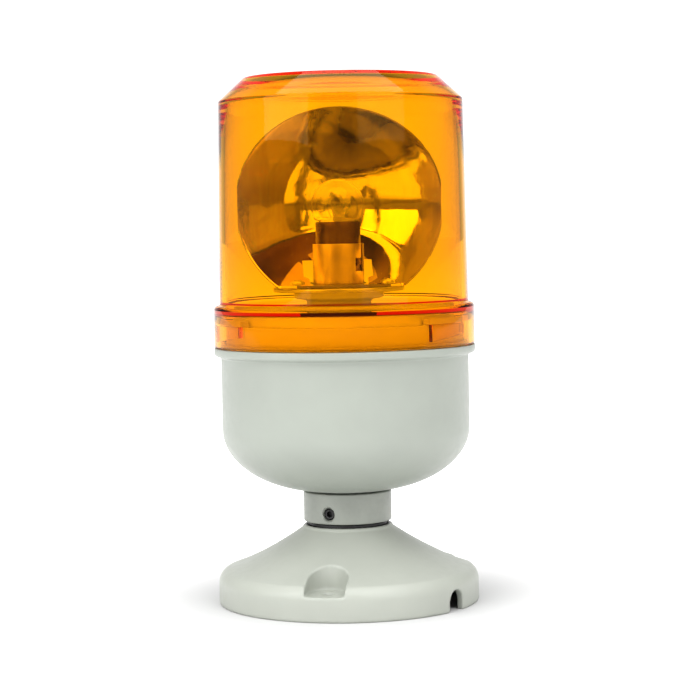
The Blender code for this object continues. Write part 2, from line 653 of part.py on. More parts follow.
def build_terminals(parent):
    low, high = (-11 * MM, -25 * MM, 66 * MM), (11 * MM, -15 * MM, PLATE_BOTTOM - GAP)
    block = make("terminal_block", lambda mesh: box(mesh, low, high), BLACK, parent)
    for number, x in enumerate((-5.5 * MM, 5.5 * MM), start=1):
        def screw_hole(mesh, x=x):
            box(mesh, (x - 1.3 * MM, -27 * MM, 70.7 * MM), (x + 1.3 * MM, -20 * MM, 73.3 * MM))

        combine(block, "DIFFERENCE", screw_hole)
        place = (x, -25 * MM - GAP, 72 * MM)
        pan_screw(f"terminal_screw_{number}", BRASS, 0.9 * MM, 1.9 * MM, 1.2 * MM, 4 * MM, parent, place,
                  tilt=math.radians(90))


def build_leads(parent):
    motor = mechanism_places()[1]
    thick = 0.8 * MM
    up_post = [(0, -14.5, 71), (0, -12.5, 71), (-0.5, -6, 68.5), (-1.3, -1.2, 69), (-1.6, 0, 76), (-1.6, 0, 92.4)]
    route = [tuple(value * MM for value in point) for point in up_post]
    wire("lamp_lead", RED, smooth_route(route, 3), thick, parent)
    for number, side in enumerate((-1, 1), start=1):
        end = (motor[0] + side * 6 * MM, motor[1] - 0.7 * MM, 49.4 * MM)
        route = [(7 * side * MM, -14.5 * MM, 70 * MM), (7 * side * MM, -12.5 * MM, 70 * MM)]
        route += [(10 * side * MM, -8 * MM, 63 * MM)]
        route += [(10.5 * side * MM, 1 * MM, 53 * MM), (9 * side * MM, 12 * MM, 49.6 * MM), end]
        wire(f"motor_lead_{number}", BLACK if side > 0 else RED, smooth_route(route, 3), thick, parent)


# ---------------------------------------------------------------- motor and gears

def build_motor(parent, shaft_axis):
    motor = mechanism_places()[1]
    can_r, skin = 11.5 * MM, 0.8 * MM
    can = [(can_r, 54.3 * MM), (can_r, 77.7 * MM), (3.0 * MM, 77.7 * MM), (3.0 * MM, 79.3 * MM)]
    can += [(1.2 * MM, 79.3 * MM), (1.2 * MM, 76.2 * MM), (can_r - skin, 76.2 * MM), (can_r - skin, 54.3 * MM)]
    case = make("motor_can", lambda mesh: lathe(mesh, can, MEDIUM_STEPS), ZINC, parent, motor)

    def face_holes(mesh):
        for place in motor_screw_places():
            prism(mesh, circle_outline(1.5 * MM, SMALL_STEPS, place), 75 * MM, 79 * MM)

    combine(case, "DIFFERENCE", face_holes, at=(0, 0, 0))
    washer("motor_end_cap", WHITE, 1.3 * MM, can_r - 0.2 * MM, 51.0 * MM, 54.0 * MM, parent, motor)
    for number, place in enumerate(motor_screw_places(), start=1):
        at = (place[0], place[1], PLATE_TOP + GAP)
        pan_screw(f"motor_screw_{number}", ZINC, 1.2 * MM, 2.2 * MM, 1.4 * MM, 4.0 * MM, parent, at)
    for number, side in enumerate((-1, 1), start=1):
        def tab(mesh, side=side):
            box(mesh, ((6 * side - 1) * MM, -0.25 * MM, 47.4 * MM), ((6 * side + 1) * MM, 0.25 * MM, 50.7 * MM))

        def magnet(mesh, side=side):
            sector(mesh, 9.9 * MM, 10.5 * MM, 57 * MM, 73 * MM, 90 * side, 130, steps=10)

        make(f"motor_terminal_{number}", tab, BRASS, parent, motor)
        make(f"motor_magnet_{number}", magnet, BLACK, parent, motor)

    shaft = [(0, 51.6 * MM), (1.0 * MM, 51.6 * MM), (1.0 * MM, 83.7 * MM), (0, 83.7 * MM)]
    make("motor_shaft", lambda mesh: lathe(mesh, shaft, SMALL_STEPS), STEEL, shaft_axis)
    washer("motor_armature", COPPER, 1.35 * MM, 9.4 * MM, 56.5 * MM, 74.5 * MM, shaft_axis)


def mesh_angles():
    """The direction of each line of centres, from the driven gear to its pinion."""
    idler, motor = mechanism_places()
    return IDLER_ANGLE, math.atan2(motor[1] - idler[1], motor[0] - idler[0])


def build_pinion(shaft_axis):
    line = mesh_angles()[1]
    outline = gear_outline(MOTOR_TEETH, MOTOR_MODULE, line + math.pi + math.pi / MOTOR_TEETH, 3)
    pinion = make("motor_pinion", lambda mesh: prism(mesh, outline, 79.9 * MM, 82.9 * MM), BRASS, shaft_axis)
    combine(pinion, "DIFFERENCE", lambda mesh: prism(mesh, circle_outline(1.35 * MM, SMALL_STEPS), 79 * MM, 84 * MM))


def build_idler(parent, idler_axis):
    to_rotor, to_motor = mesh_angles()
    large = gear_outline(IDLER_LARGE_TEETH, MOTOR_MODULE, to_motor, 2)
    small_turn = to_rotor + math.pi + math.pi / IDLER_SMALL_TEETH
    small = gear_outline(IDLER_SMALL_TEETH, ROTOR_MODULE, small_turn, 3)
    gear = make("idler_gear", lambda mesh: prism(mesh, large, 79.9 * MM, 82.2 * MM), WHITE, idler_axis)
    combine(gear, "UNION", lambda mesh: prism(mesh, small, 81.5 * MM, 90.4 * MM))
    combine(gear, "DIFFERENCE", lambda mesh: prism(mesh, circle_outline(1.62 * MM, 16), 79 * MM, 92 * MM))

    place = mechanism_places()[0]
    pin_r = 1.5 * MM
    pin = [(0, PLATE_BOTTOM), (pin_r, PLATE_BOTTOM), (pin_r, 92.2 * MM), (0, 92.2 * MM)]
    make("idler_pin", lambda mesh: lathe(mesh, pin, 16), STEEL, parent, place)

    def clip(mesh):
        sector(mesh, 1.8 * MM, 3.3 * MM, 90.8 * MM, 91.5 * MM, 90, 300, steps=14)

    make("idler_clip", clip, STEEL, parent, place)


def build_rotor(rotor_axis):
    outline = gear_outline(ROTOR_TEETH, ROTOR_MODULE, IDLER_ANGLE, 2)
    gear = make("rotor_gear", lambda mesh: prism(mesh, outline, 85.5 * MM, 88.5 * MM), WHITE, rotor_axis)
    hub_r, flange_r = 10.8 * MM, 15.0 * MM
    hub = [(0, 82.6 * MM), (hub_r, 82.6 * MM), (hub_r, 100.6 * MM), (flange_r, 101.4 * MM)]
    hub += [(flange_r, 103.6 * MM), (0, 103.6 * MM)]
    combine(gear, "UNION", lambda mesh: lathe(mesh, hub, MEDIUM_STEPS))
    combine(gear, "DIFFERENCE", lambda mesh: prism(mesh, circle_outline(8.35 * MM, MEDIUM_STEPS), 80 * MM, 106 * MM))
    combine(gear, "DIFFERENCE", lambda mesh: plate_screw_holes(mesh, 1.3 * MM, 99 * MM, 106 * MM))
    washer("rotor_bush", BRASS, 6.62 * MM, 8.0 * MM, 82.8 * MM, 103.3 * MM, rotor_axis)


def plate_screw_holes(mesh, radius, bottom, top):
    for side in (-1, 1):
        turn = MIRROR_TURN + math.radians(90 + 45 * side)
        centre = (12.2 * MM * math.cos(turn), 12.2 * MM * math.sin(turn))
        prism(mesh, circle_outline(radius, SMALL_STEPS, centre), bottom, top)


def build_turntable(rotor_axis):
    bottom, top = 103.9 * MM, 105.2 * MM
    plate = make("turntable_plate", lambda mesh: prism(mesh, circle_outline(22 * MM, LARGE_STEPS), bottom, top),
                 ZINC, rotor_axis, turn=MIRROR_TURN)

    def centre_hole(mesh):
        prism(mesh, circle_outline(9.3 * MM, MEDIUM_STEPS), 103 * MM, 106 * MM)

    def mirror_screw_holes(mesh):
        for side in (-1, 1):
            centre = (side * MIRROR_SCREW_X, MIRROR_SCREW_Y)
            prism(mesh, circle_outline(1.5 * MM, SMALL_STEPS, centre), 103 * MM, 106 * MM)

    combine(plate, "DIFFERENCE", centre_hole)
    combine(plate, "DIFFERENCE", mirror_screw_holes)
    combine(plate, "DIFFERENCE", lambda mesh: plate_screw_holes(mesh, 1.5 * MM, bottom - MM, top + MM), turn=0.0)
    for number, side in enumerate((-1, 1), start=1):
        turn = MIRROR_TURN + math.radians(90 + 45 * side)
        place = (12.2 * MM * math.cos(turn), 12.2 * MM * math.sin(turn), top + GAP)
        pan_screw(f"turntable_screw_{number}", ZINC, 1.0 * MM, 2.0 * MM, 1.2 * MM, 5.0 * MM, rotor_axis, place)


def mirror_depth(across, height):
    """How far behind the rotor axis the mirror's face lies, for a point this far from its middle."""
    return MIRROR_FOCUS - (across ** 2 + height ** 2) / (4 * MIRROR_FOCUS)


def mirror_bowl(mesh):
    """The paraboloid's shell, turned about its own optical axis, open towards -Y."""
    steps = 6
    face = [(MIRROR_R * k / steps, mirror_depth(MIRROR_R * k / steps, 0)) for k in range(steps + 1)]
    back = [(r, depth + MIRROR_SKIN * math.hypot(1, r / (2 * MIRROR_FOCUS))) for r, depth in face]
    lathe(mesh, face + back[::-1], LARGE_STEPS)
    lay = Matrix.Translation((0, 0, MIRROR_Z)) @ Matrix.Rotation(math.radians(-90), 4, "X")
    bmesh.ops.transform(mesh, matrix=lay, verts=mesh.verts)


def mirror_trim(mesh):
    """What stays of the bowl: the space between the side flats and above the foot."""
    box(mesh, (-MIRROR_HALF_WIDTH, -40 * MM, MIRROR_BOTTOM), (MIRROR_HALF_WIDTH, 40 * MM, 172 * MM))


def mirror_foot(mesh):
    """A flat flange in front of the mirror's lower edge."""
    half_width, front, top = 20.6 * MM, -14.6 * MM, MIRROR_BOTTOM + 0.8 * MM
    steps = 8
    widths = [half_width * (2 * k / steps - 1) for k in range(steps + 1)]
    drop = MIRROR_Z - MIRROR_BOTTOM
    back = [(x, mirror_depth(x, drop) + 1.0 * MM) for x in widths]
    prism(mesh, back + [(15.5 * MM, front), (-15.5 * MM, front)], MIRROR_BOTTOM, top)


def build_mirror(rotor_axis):
    mirror = make("reflector", mirror_bowl, MIRROR, rotor_axis, turn=MIRROR_TURN)
    combine(mirror, "INTERSECT", mirror_trim)
    combine(mirror, "UNION", mirror_foot)

    def lamp_clearance(mesh):
        prism(mesh, circle_outline(10.0 * MM, MEDIUM_STEPS), 100 * MM, 121.5 * MM)

    def rear_window(mesh):
        box(mesh, (-11.8 * MM, -0.5 * MM, 100 * MM), (11.8 * MM, 30 * MM, 114.3 * MM))

    def screw_holes(mesh):
        for side in (-1, 1):
            centre = (side * MIRROR_SCREW_X, MIRROR_SCREW_Y)
            prism(mesh, circle_outline(1.5 * MM, SMALL_STEPS, centre), 100 * MM, 109 * MM)

    combine(mirror, "DIFFERENCE", lamp_clearance)
    combine(mirror, "DIFFERENCE", rear_window)
    combine(mirror, "DIFFERENCE", screw_holes)
    for number, side in enumerate((-1, 1), start=1):
        spot = Matrix.Rotation(MIRROR_TURN, 3, "Z") @ Vector((side * MIRROR_SCREW_X, MIRROR_SCREW_Y, 0))
        place = (spot.x, spot.y, MIRROR_BOTTOM + 0.8 * MM + GAP)
        pan_screw(f"reflector_screw_{number}", ZINC, 1.1 * MM, 2.4 * MM, 1.7 * MM, 3.0 * MM, rotor_axis, place)


# ---------------------------------------------------------------- lamp holder and lamp

def build_socket(parent):
    centre = (AXIS_X, 0, 0)
    profile = [(4.8 * MM, SOCKET_BOTTOM), (SOCKET_R, SOCKET_BOTTOM), (SOCKET_R, SOCKET_TOP)]
    profile += [(SOCKET_BORE_R, SOCKET_TOP), (SOCKET_BORE_R, 105.7 * MM), (4.8 * MM, 105.7 * MM)]
    socket = make("lamp_socket", lambda mesh: lathe(mesh, profile, MEDIUM_STEPS), BRASS, parent, centre)
    for side in (0, 180):
        def slot_way_in(mesh, side=side):
            sector(mesh, 6 * MM, 10 * MM, 110.5 * MM, SOCKET_TOP + MM, PIN_AZIMUTH + side + 20, 19)

        def slot_foot(mesh, side=side):
            sector(mesh, 6 * MM, 10 * MM, 110.6 * MM, 115.1 * MM, PIN_AZIMUTH + side + 9, 38)

        combine(socket, "DIFFERENCE", slot_way_in)
        combine(socket, "DIFFERENCE", slot_foot)
    washer("contact_insulator", WHITE, 1.2 * MM, 4.2 * MM, 93.0 * MM, 95.7 * MM, parent, centre, steps=16)
    turns, around, mean_r, wire_r = 5, SMALL_STEPS, 3.1 * MM, 0.35 * MM
    low, high = SPRING_BOTTOM + wire_r, SPRING_TOP - wire_r
    route = []
    for k in range(turns * around + 1):
        angle = 2 * math.pi * k / around
        height = low + (high - low) * k / (turns * around)
        route.append((AXIS_X + mean_r * math.cos(angle), mean_r * math.sin(angle), height))
    wire("contact_spring", STEEL, route, wire_r, parent, resolution=0)


def build_lamp(lamp_axis):
    inner_r = 6.8 * MM
    cap = [(0, CAP_BOTTOM), (CAP_R - 0.5 * MM, CAP_BOTTOM), (CAP_R, CAP_BOTTOM + 0.6 * MM), (CAP_R, CAP_TOP)]
    cap += [(inner_r, CAP_TOP), (inner_r, CAP_BOTTOM + 1.3 * MM), (0, CAP_BOTTOM + 1.3 * MM)]
    shell = make("bulb_cap", lambda mesh: lathe(mesh, cap, MEDIUM_STEPS), BRASS, lamp_axis)
    for side in (0, 180):
        def pin(mesh):
            prism(mesh, circle_outline(PIN_R, 8), 7.0 * MM, 9.2 * MM)
            lay = Matrix.Translation((0, 0, PIN_Z)) @ Matrix.Rotation(math.radians(90), 4, "Y")
            bmesh.ops.transform(mesh, matrix=lay, verts=mesh.verts)

        combine(shell, "UNION", pin, turn=turned(PIN_AZIMUTH + side))
    button = [(0, 106.7 * MM), (1.8 * MM, 106.7 * MM), (2.6 * MM, 107.2 * MM), (2.6 * MM, 107.6 * MM), (0, 107.6 * MM)]
    make("bulb_contact", lambda mesh: lathe(mesh, button, SMALL_STEPS), ZINC, lamp_axis)
    plunger = [(0, 104.9 * MM), (3.6 * MM, 104.9 * MM), (3.6 * MM, 105.8 * MM), (2.4 * MM, 106.4 * MM), (0, 106.4 * MM)]
    make("contact_plunger", lambda mesh: lathe(mesh, plunger, 16), BRASS, lamp_axis)

    low = -math.degrees(math.acos(8.0 / 9.2))
    outside = [(6.3 * MM, 119 * MM), (6.3 * MM, 127.3 * MM), (6.9 * MM, 127.9 * MM)]
    outside += arc((0, GLASS_Z), GLASS_R, GLASS_R, low, 90, 6)[:-1] + [(0, GLASS_Z + GLASS_R)]
    inner = GLASS_R - GLASS_SKIN
    inside = [(0, GLASS_Z + inner)] + arc((0, GLASS_Z), inner, inner, 90, low - 6, 6)[1:]
    inside += [(5.7 * MM, 127.5 * MM), (5.7 * MM, 119 * MM)]
    make("bulb_glass", lambda mesh: lathe(mesh, outside + inside, 16), CLEAR, lamp_axis)
    stem = [(0, 117 * MM), (4.2 * MM, 117 * MM), (2.6 * MM, 121 * MM), (2.2 * MM, 126.6 * MM), (0, 127.2 * MM)]
    make("bulb_stem", lambda mesh: lathe(mesh, stem, SMALL_STEPS), CLEAR, lamp_axis)
    turns, around, coil_r = 5, 6, 0.5 * MM
    half, height = 3.3 * MM, 132.4 * MM
    route = [(-1.5 * MM, 0, 127.6 * MM), (-half - 0.4 * MM, 0, height)]
    for k in range(turns * around + 1):
        angle = 2 * math.pi * k / around
        route.append((half * (2 * k / (turns * around) - 1), coil_r * math.sin(angle),
                      height + coil_r * (1 - math.cos(angle))))
    route += [(half + 0.4 * MM, 0, height), (1.5 * MM, 0, 127.6 * MM)]
    wire("bulb_filament", STEEL, route, 0.13 * MM, lamp_axis, resolution=0)


def build():
    clear_scene()
    idler, motor = mechanism_places()
    base = axis_empty("base_frame")
    head = axis_empty("head_axis")
    lens_axis = axis_empty("lens_axis")
    rotor_axis = axis_empty("rotor_axis", (AXIS_X, 0, 0))
    idler_axis = axis_empty("idler_axis", idler)
    shaft_axis = axis_empty("motor_shaft_axis", motor)
    lamp_axis = axis_empty("lamp_axis", (AXIS_X, 0, 0))
    build_base(base)
    build_stem(base)
    build_collar(head)
    build_body(head)
    build_lens(lens_axis)
    build_chassis(head)
    build_gear_cover(head)
    build_terminals(head)
    build_leads(head)
    build_motor(head, shaft_axis)
    build_pinion(shaft_axis)
    build_idler(head, idler_axis)
    build_rotor(rotor_axis)
    build_turntable(rotor_axis)
    build_mirror(rotor_axis)
    build_socket(head)
    build_lamp(lamp_axis)


build()
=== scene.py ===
"""Looks for the rotating-mirror warning light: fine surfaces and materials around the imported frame.

Metres, +Z up. The light stands on z = 0 and the mirror's open side faces -Y at rest. An azimuth is an
angle from -Y towards +X, seen from above.
"""
import json
import math

import bmesh
import bpy
from mathutils import Matrix, Vector


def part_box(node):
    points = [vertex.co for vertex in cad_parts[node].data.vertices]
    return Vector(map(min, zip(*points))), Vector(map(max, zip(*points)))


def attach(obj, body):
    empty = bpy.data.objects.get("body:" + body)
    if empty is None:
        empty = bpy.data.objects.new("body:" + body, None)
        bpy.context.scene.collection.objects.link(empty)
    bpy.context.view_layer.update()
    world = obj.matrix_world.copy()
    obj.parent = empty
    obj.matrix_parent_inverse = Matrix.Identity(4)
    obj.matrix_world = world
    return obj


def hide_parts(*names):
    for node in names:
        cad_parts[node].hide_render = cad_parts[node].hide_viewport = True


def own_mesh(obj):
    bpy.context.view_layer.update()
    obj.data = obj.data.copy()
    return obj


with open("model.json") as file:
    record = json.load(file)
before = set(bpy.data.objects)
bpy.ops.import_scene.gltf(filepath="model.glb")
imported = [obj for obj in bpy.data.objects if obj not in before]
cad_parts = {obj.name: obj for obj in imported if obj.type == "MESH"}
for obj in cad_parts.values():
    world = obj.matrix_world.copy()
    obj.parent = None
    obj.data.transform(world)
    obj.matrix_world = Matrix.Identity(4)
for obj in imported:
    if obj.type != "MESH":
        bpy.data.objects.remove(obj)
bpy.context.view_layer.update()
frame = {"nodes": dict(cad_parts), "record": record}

MM = 0.001
HOUSING_STEPS = 160                 # sides of the housings and the lens
TUBE_STEPS = 96                     # sides of tubes, plates and the lamp
SCREW_STEPS = 48                    # sides of screw heads
ON_AXIS = 1e-7                      # a point nearer to the axis than this is one vertex

# Camera: distances in metres, angles in degrees, lens and sensor in millimetres.
CAMERA_DISTANCE = 0.684
CAMERA_HEIGHT = 0.1246
CAMERA_SIDE = 1.74 * MM
CAMERA_PITCH = 3.37
CAMERA_ROLL = -1.05
LENS_LENGTH = 104.9
SENSOR_WIDTH = 36.0

# Base and stem: sizes that the frame's boxes don't give.
BASE_WALL_TOP = 7.0 * MM
BASE_SHOULDER = 4.96 * MM
BASE_FLARE_MID = (29.1 * MM, 15.4 * MM)
BASE_FLARE_TOP = (15.1 * MM, 25.1 * MM)
BASE_SKIN = 2.6 * MM
REMESH_SIZE = 0.45 * MM
POCKET_AZIMUTHS = (-10.7, 109.3, 229.3)
POCKET_R = 6.55 * MM
POCKET_FLOOR = 8.2 * MM
POCKET_END = 60 * MM                # pockets run out past the rim
FIXING_CIRCLE_R = 36.0 * MM
FIXING_HOLE_R = 2.2 * MM
NOTCH_AZIMUTH = 53.5
NOTCH_R = 3.7 * MM
STEM_R = 10 * MM
STEM_BORE_R = 7.5 * MM
STEM_SHOULDER_LOW = 24.3 * MM
STEM_SHOULDER_TOP = 26.9 * MM

# Head housing.
SET_SCREW_AZIMUTHS = (-26.0, 94.0, 214.0)
SET_SCREW_Z = 30.6 * MM
BODY_R = 41.5 * MM
BODY_SKIN = 2.6 * MM
BODY_CORNER_CENTRE = (8.5 * MM, 58.5 * MM)
BODY_CORNER_HALF = (33.0 * MM, 21.0 * MM)
LIP_TOP = 86.0 * MM
RIM_R = 39.6 * MM
RIM_TOP = 93.5 * MM
BAYONET_AZIMUTHS = (-66.0, 54.0, 174.0)

# Lens.
LUG_HALF_ANGLE = 12.0
SKIRT_TOP = 98 * MM                 # below this the amber is a little redder
SHOULDER_RANGE = (97 * MM, 101.5 * MM)
AMBER_COLOUR = (0.9875, 0.868, 0.134, 1.0)
AMBER_DENSITY = 400                 # absorption for each metre of plastic
AMBER_INDEX = 1.3
SHOULDER_INDEX = 1.1                # keeps the shoulder from showing a black ring

# Mirror, gear and lamp.
MIRROR_TURN = math.radians(7)
MIRROR_FOCUS = 13.0 * MM
MIRROR_Z = 132.7 * MM
MIRROR_SKIN = 0.9 * MM
MIRROR_FLAT = 33.6 * MM             # half the width between the trimmed sides
MIRROR_TRIM_TOP = 172 * MM
GEAR_TEETH = 60
GEAR_MODULE = 0.6 * MM
GEAR_LOW = 85.5 * MM
GEAR_TOP = 88.5 * MM
PIN_AZIMUTH = 52.0
PIN_Z = 113.6 * MM
CEMENT_TOP = 126.6 * MM

# Studio; a softbox is azimuth, elevation, width, height and power in watts.
FLOOR_HALF = 12.0
FLOOR_GLOW_RANGE = (0.04, 0.13)     # radius over which the glow comes up
FLOOR_NEAR_RANGE = (-0.9, -0.38)    # y over which the dark camera side turns bright
BACKDROP_STRENGTH = 1.3
ROOM_STRENGTH = 0.3
DARKEST_ROOM = 0.2
LIGHT_DISTANCE = 1.9
LIGHT_AIM_Z = 0.1
SOFTBOXES = {
    "left_strip": (-52, 24, 1.6, 1.2, 22),
    "right_strip": (38, 24, 1.6, 1.2, 13),
    "overhead": (0, 74, 2.6, 2.6, 60),
}


# ---------------------------- frame sizes

def top(node):
    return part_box(node)[1].z


def bottom(node):
    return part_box(node)[0].z


def half_width(node):
    low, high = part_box(node)
    return (high.x - low.x) / 2


def middle(node):
    low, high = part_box(node)
    return (low + high) / 2


LAMP_AXIS = Vector((middle("bulb_glass").x, middle("bulb_glass").y, 0))
ON_LAMP_AXIS = Matrix.Translation(LAMP_AXIS)
ROTOR_TURN = ON_LAMP_AXIS @ Matrix.Rotation(MIRROR_TURN, 4, "Z")


# ---------------------------- outlines

def arc(centre, half_r, half_z, start, end, steps):
    """Points of an elliptical arc; angles in degrees from +r towards +z."""
    points = []
    for step in range(steps + 1):
        angle = math.radians(start + (end - start) * step / steps)
        points.append((centre[0] + half_r * math.cos(angle), centre[1] + half_z * math.sin(angle)))
    return points


def bezier(start, control, end, steps):
    """Points of a quadratic curve, without its first point."""
    points = []
    for step in range(1, steps + 1):
        t = step / steps
        points.append(tuple(
            (1 - t) ** 2 * a + 2 * t * (1 - t) * b + t * t * c for a, b, c in zip(start, control, end)
        ))
    return points


def rounded(points, radius, steps=4):
    """Round each corner of a closed outline; radius may be one number or one for each corner."""
    count = len(points)
    radii = radius if isinstance(radius, (list, tuple)) else [radius] * count
    result = []
    for k, corner in enumerate(points):
        here = Vector(corner)
        before = Vector(points[k - 1]) - here
        after = Vector(points[(k + 1) % count]) - here
        reach = min(radii[k], 0.45 * before.length, 0.45 * after.length)
        if reach <= 0:
            result.append(tuple(corner))
            continue
        start = here + before.normalized() * reach
        result.append(tuple(start))
        result += bezier(start, here, here + after.normalized() * reach, steps)
    return result


def circle(radius, steps, centre=(0.0, 0.0)):
    turns = [2 * math.pi * k / steps for k in range(steps)]
    return [(centre[0] + radius * math.cos(a), centre[1] + radius * math.sin(a)) for a in turns]


# ---------------------------- mesh makers

def spin_into(mesh, profile, steps):
    """Turn a closed (r, z) profile about Z."""
    rings = []
    for r, z in profile:
        if r < ON_AXIS:
            rings.append([mesh.verts.new((0, 0, z))])
            continue
        turns = [2 * math.pi * k / steps for k in range(steps)]
        rings.append([mesh.verts.new((r * math.cos(a), r * math.sin(a), z)) for a in turns])
    for index, low in enumerate(rings):
        high = rings[(index + 1) % len(rings)]
        if len(low) == 1 and len(high) == 1:
            continue
        for k in range(steps):
            after = (k + 1) % steps
            corners = [low[k % len(low)], low[after % len(low)]]
            corners += [high[after % len(high)], high[k % len(high)]]
            mesh.faces.new(list(dict.fromkeys(corners)))


def prism_into(mesh, outline, low, high):
    """Raise a closed outline between two heights."""
    under = [mesh.verts.new((x, y, low)) for x, y in outline]
    over = [mesh.verts.new((x, y, high)) for x, y in outline]
    mesh.faces.new(under)
    mesh.faces.new(over)
    for k in range(len(outline)):
        after = (k + 1) % len(outline)
        mesh.faces.new((under[k], under[after], over[after], over[k]))


def box_into(mesh, low, high):
    outline = [(low[0], low[1]), (high[0], low[1]), (high[0], high[1]), (low[0], high[1])]
    prism_into(mesh, outline, low[2], high[2])


def sector_outline(inner_r, outer_r, azimuth, width):
    """A piece of a ring, centred on an azimuth; angles in degrees."""
    steps = 16
    turns = [math.radians(azimuth - 90 + width * (k / steps - 0.5)) for k in range(steps + 1)]
    outline = [(outer_r * math.cos(a), outer_r * math.sin(a)) for a in turns]
    return outline + [(inner_r * math.cos(a), inner_r * math.sin(a)) for a in reversed(turns)]


def add_object(name, data):
    item = bpy.data.objects.new(name, data)
    bpy.context.collection.objects.link(item)
    return item


def shape(name, draw, place=None, smooth_angle=35):
    """A mesh object that draw(mesh) builds, moved by the matrix place."""
    mesh = bmesh.new()
    draw(mesh)
    if place is not None:
        bmesh.ops.transform(mesh, matrix=place, verts=mesh.verts)
    bmesh.ops.recalc_face_normals(mesh, faces=mesh.faces)
    data = bpy.data.meshes.new(name)
    mesh.to_mesh(data)
    mesh.free()
    data.shade_smooth()
    data.set_sharp_from_angle(angle=math.radians(smooth_angle))
    return add_object(name, data)


def apply_modifiers(item):
    graph = bpy.context.evaluated_depsgraph_get()
    data = bpy.data.meshes.new_from_object(item.evaluated_get(graph))
    item.modifiers.clear()
    item.data = data


def add_boolean(item, operation, tool):
    change = item.modifiers.new("change", "BOOLEAN")
    change.operation = operation
    change.solver = "EXACT"
    change.object = tool


def combine(item, operation, draws, smooth_angle=35):
    """Cut or join shapes, each drawn in the item's own space, and apply the result."""
    tools = []
    for draw, place in draws:
        tools.append(shape("tool", draw, place))
        add_boolean(item, operation, tools[-1])
    apply_modifiers(item)
    for tool in tools:
        bpy.data.objects.remove(tool, do_unlink=True)
    item.data.shade_smooth()
    item.data.set_sharp_from_angle(angle=math.radians(smooth_angle))
    return item


def direction_turn(azimuth):
    """The turn that carries +X onto an azimuth."""
    return Matrix.Rotation(math.radians(azimuth - 90), 4, "Z")


def lying_at(azimuth, height):
    """The move that lays a part drawn along +Z outwards along an azimuth, at a height."""
    lay = Matrix.Translation((0, 0, height)) @ Matrix.Rotation(math.radians(90), 4, "Y")
    return direction_turn(azimuth) @ lay


def dress(item, body, slot, node, material=None):
    """Give a piece its material, its body and the CAD node it stands for."""
    item.data.materials.clear()
    item.data.materials.append(MATERIALS[material or slot])
    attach(item, body)
    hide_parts(node)


def paint_faces(item, material, wanted):
    """Give another material to the faces whose centre passes the test."""
    item.data.materials.append(MATERIALS[material])
    for face in item.data.polygons:
        if wanted(face.center):
            face.material_index = len(item.data.materials) - 1


# ---------------------------- materials

def new_material(name):
    material = bpy.data.materials.new(name)
    material.use_nodes = True
    return material, material.node_tree, material.node_tree.nodes["Principled BSDF"]


def set_inputs(shader, **values):
    for key, value in values.items():
        shader.inputs[key.replace("_", " ")].default_value = value


def noise(tree, scale, detail=4.0, stretch=(1.0, 1.0, 1.0), roughness=0.5):
    """A noise texture in object space; scale is in waves to the metre."""
    where = tree.nodes.new("ShaderNodeTexCoord")
    mapping = tree.nodes.new("ShaderNodeMapping")
    mapping.inputs["Scale"].default_value = stretch
    texture = tree.nodes.new("ShaderNodeTexNoise")
    texture.inputs["Scale"].default_value = scale
    texture.inputs["Detail"].default_value = detail
    texture.inputs["Roughness"].default_value = roughness
    tree.links.new(where.outputs["Object"], mapping.inputs["Vector"])
    tree.links.new(mapping.outputs["Vector"], texture.inputs["Vector"])
    return texture


def spread(tree, source, low, high, from_low=0.3, from_high=0.7):
    """Map a range of the source onto low to high, where high may be the smaller."""
    node = tree.nodes.new("ShaderNodeMapRange")
    values = {"From Min": from_low, "From Max": from_high, "To Min": low, "To Max": high}
    for socket, value in values.items():
        node.inputs[socket].default_value = value
    tree.links.new(source, node.inputs["Value"])
    return node.outputs["Result"]


def calculate(tree, operation, first, second):
    """A Math node; each input is a socket or a number."""
    node = tree.nodes.new("ShaderNodeMath")
    node.operation = operation
    for index, value in enumerate((first, second)):
        if isinstance(value, (int, float)):
            node.inputs[index].default_value = value
        else:
            tree.links.new(value, node.inputs[index])
    return node.outputs["Value"]


def tint(tree, source, shader, dark, light):
    """Colour that wanders between two tones."""
    ramp = tree.nodes.new("ShaderNodeValToRGB")
    ramp.color_ramp.elements[0].position = 0.3
    ramp.color_ramp.elements[1].position = 0.7
    ramp.color_ramp.elements[0].color = (*dark, 1.0)
    ramp.color_ramp.elements[1].color = (*light, 1.0)
    tree.links.new(source, ramp.inputs["Fac"])
    tree.links.new(ramp.outputs["Color"], shader.inputs["Base Color"])


def bump(tree, shader, layers):
    """Stack bumps; each layer is (height socket, depth in metres)."""
    last = None
    for height, depth in layers:
        node = tree.nodes.new("ShaderNodeBump")
        node.inputs["Strength"].default_value = 1.0
        node.inputs["Distance"].default_value = depth
        tree.links.new(height, node.inputs["Height"])
        if last is not None:
            tree.links.new(last.outputs["Normal"], node.inputs["Normal"])
        last = node
    tree.links.new(last.outputs["Normal"], shader.inputs["Normal"])


def moulded_plastic(name, colour, roughness=0.38):
    """Injection-moulded plastic: faint tone drift, a fine grain and slow ripples."""
    material, tree, shader = new_material(name)
    drift = noise(tree, 60, 3)
    fine = noise(tree, 2600, 2)
    ripple = noise(tree, 220, 2)
    dark = tuple(c * 0.97 for c in colour)
    light = tuple(min(1.0, c * 1.03) for c in colour)
    tint(tree, drift.outputs["Fac"], shader, dark, light)
    level = spread(tree, noise(tree, 400, 3).outputs["Fac"], roughness - 0.05, roughness + 0.06)
    tree.links.new(level, shader.inputs["Roughness"])
    bump(tree, shader, [(ripple.outputs["Fac"], 0.02 * MM), (fine.outputs["Fac"], 0.004 * MM)])
    set_inputs(shader, IOR=1.5, Specular_IOR_Level=0.5)
    return material


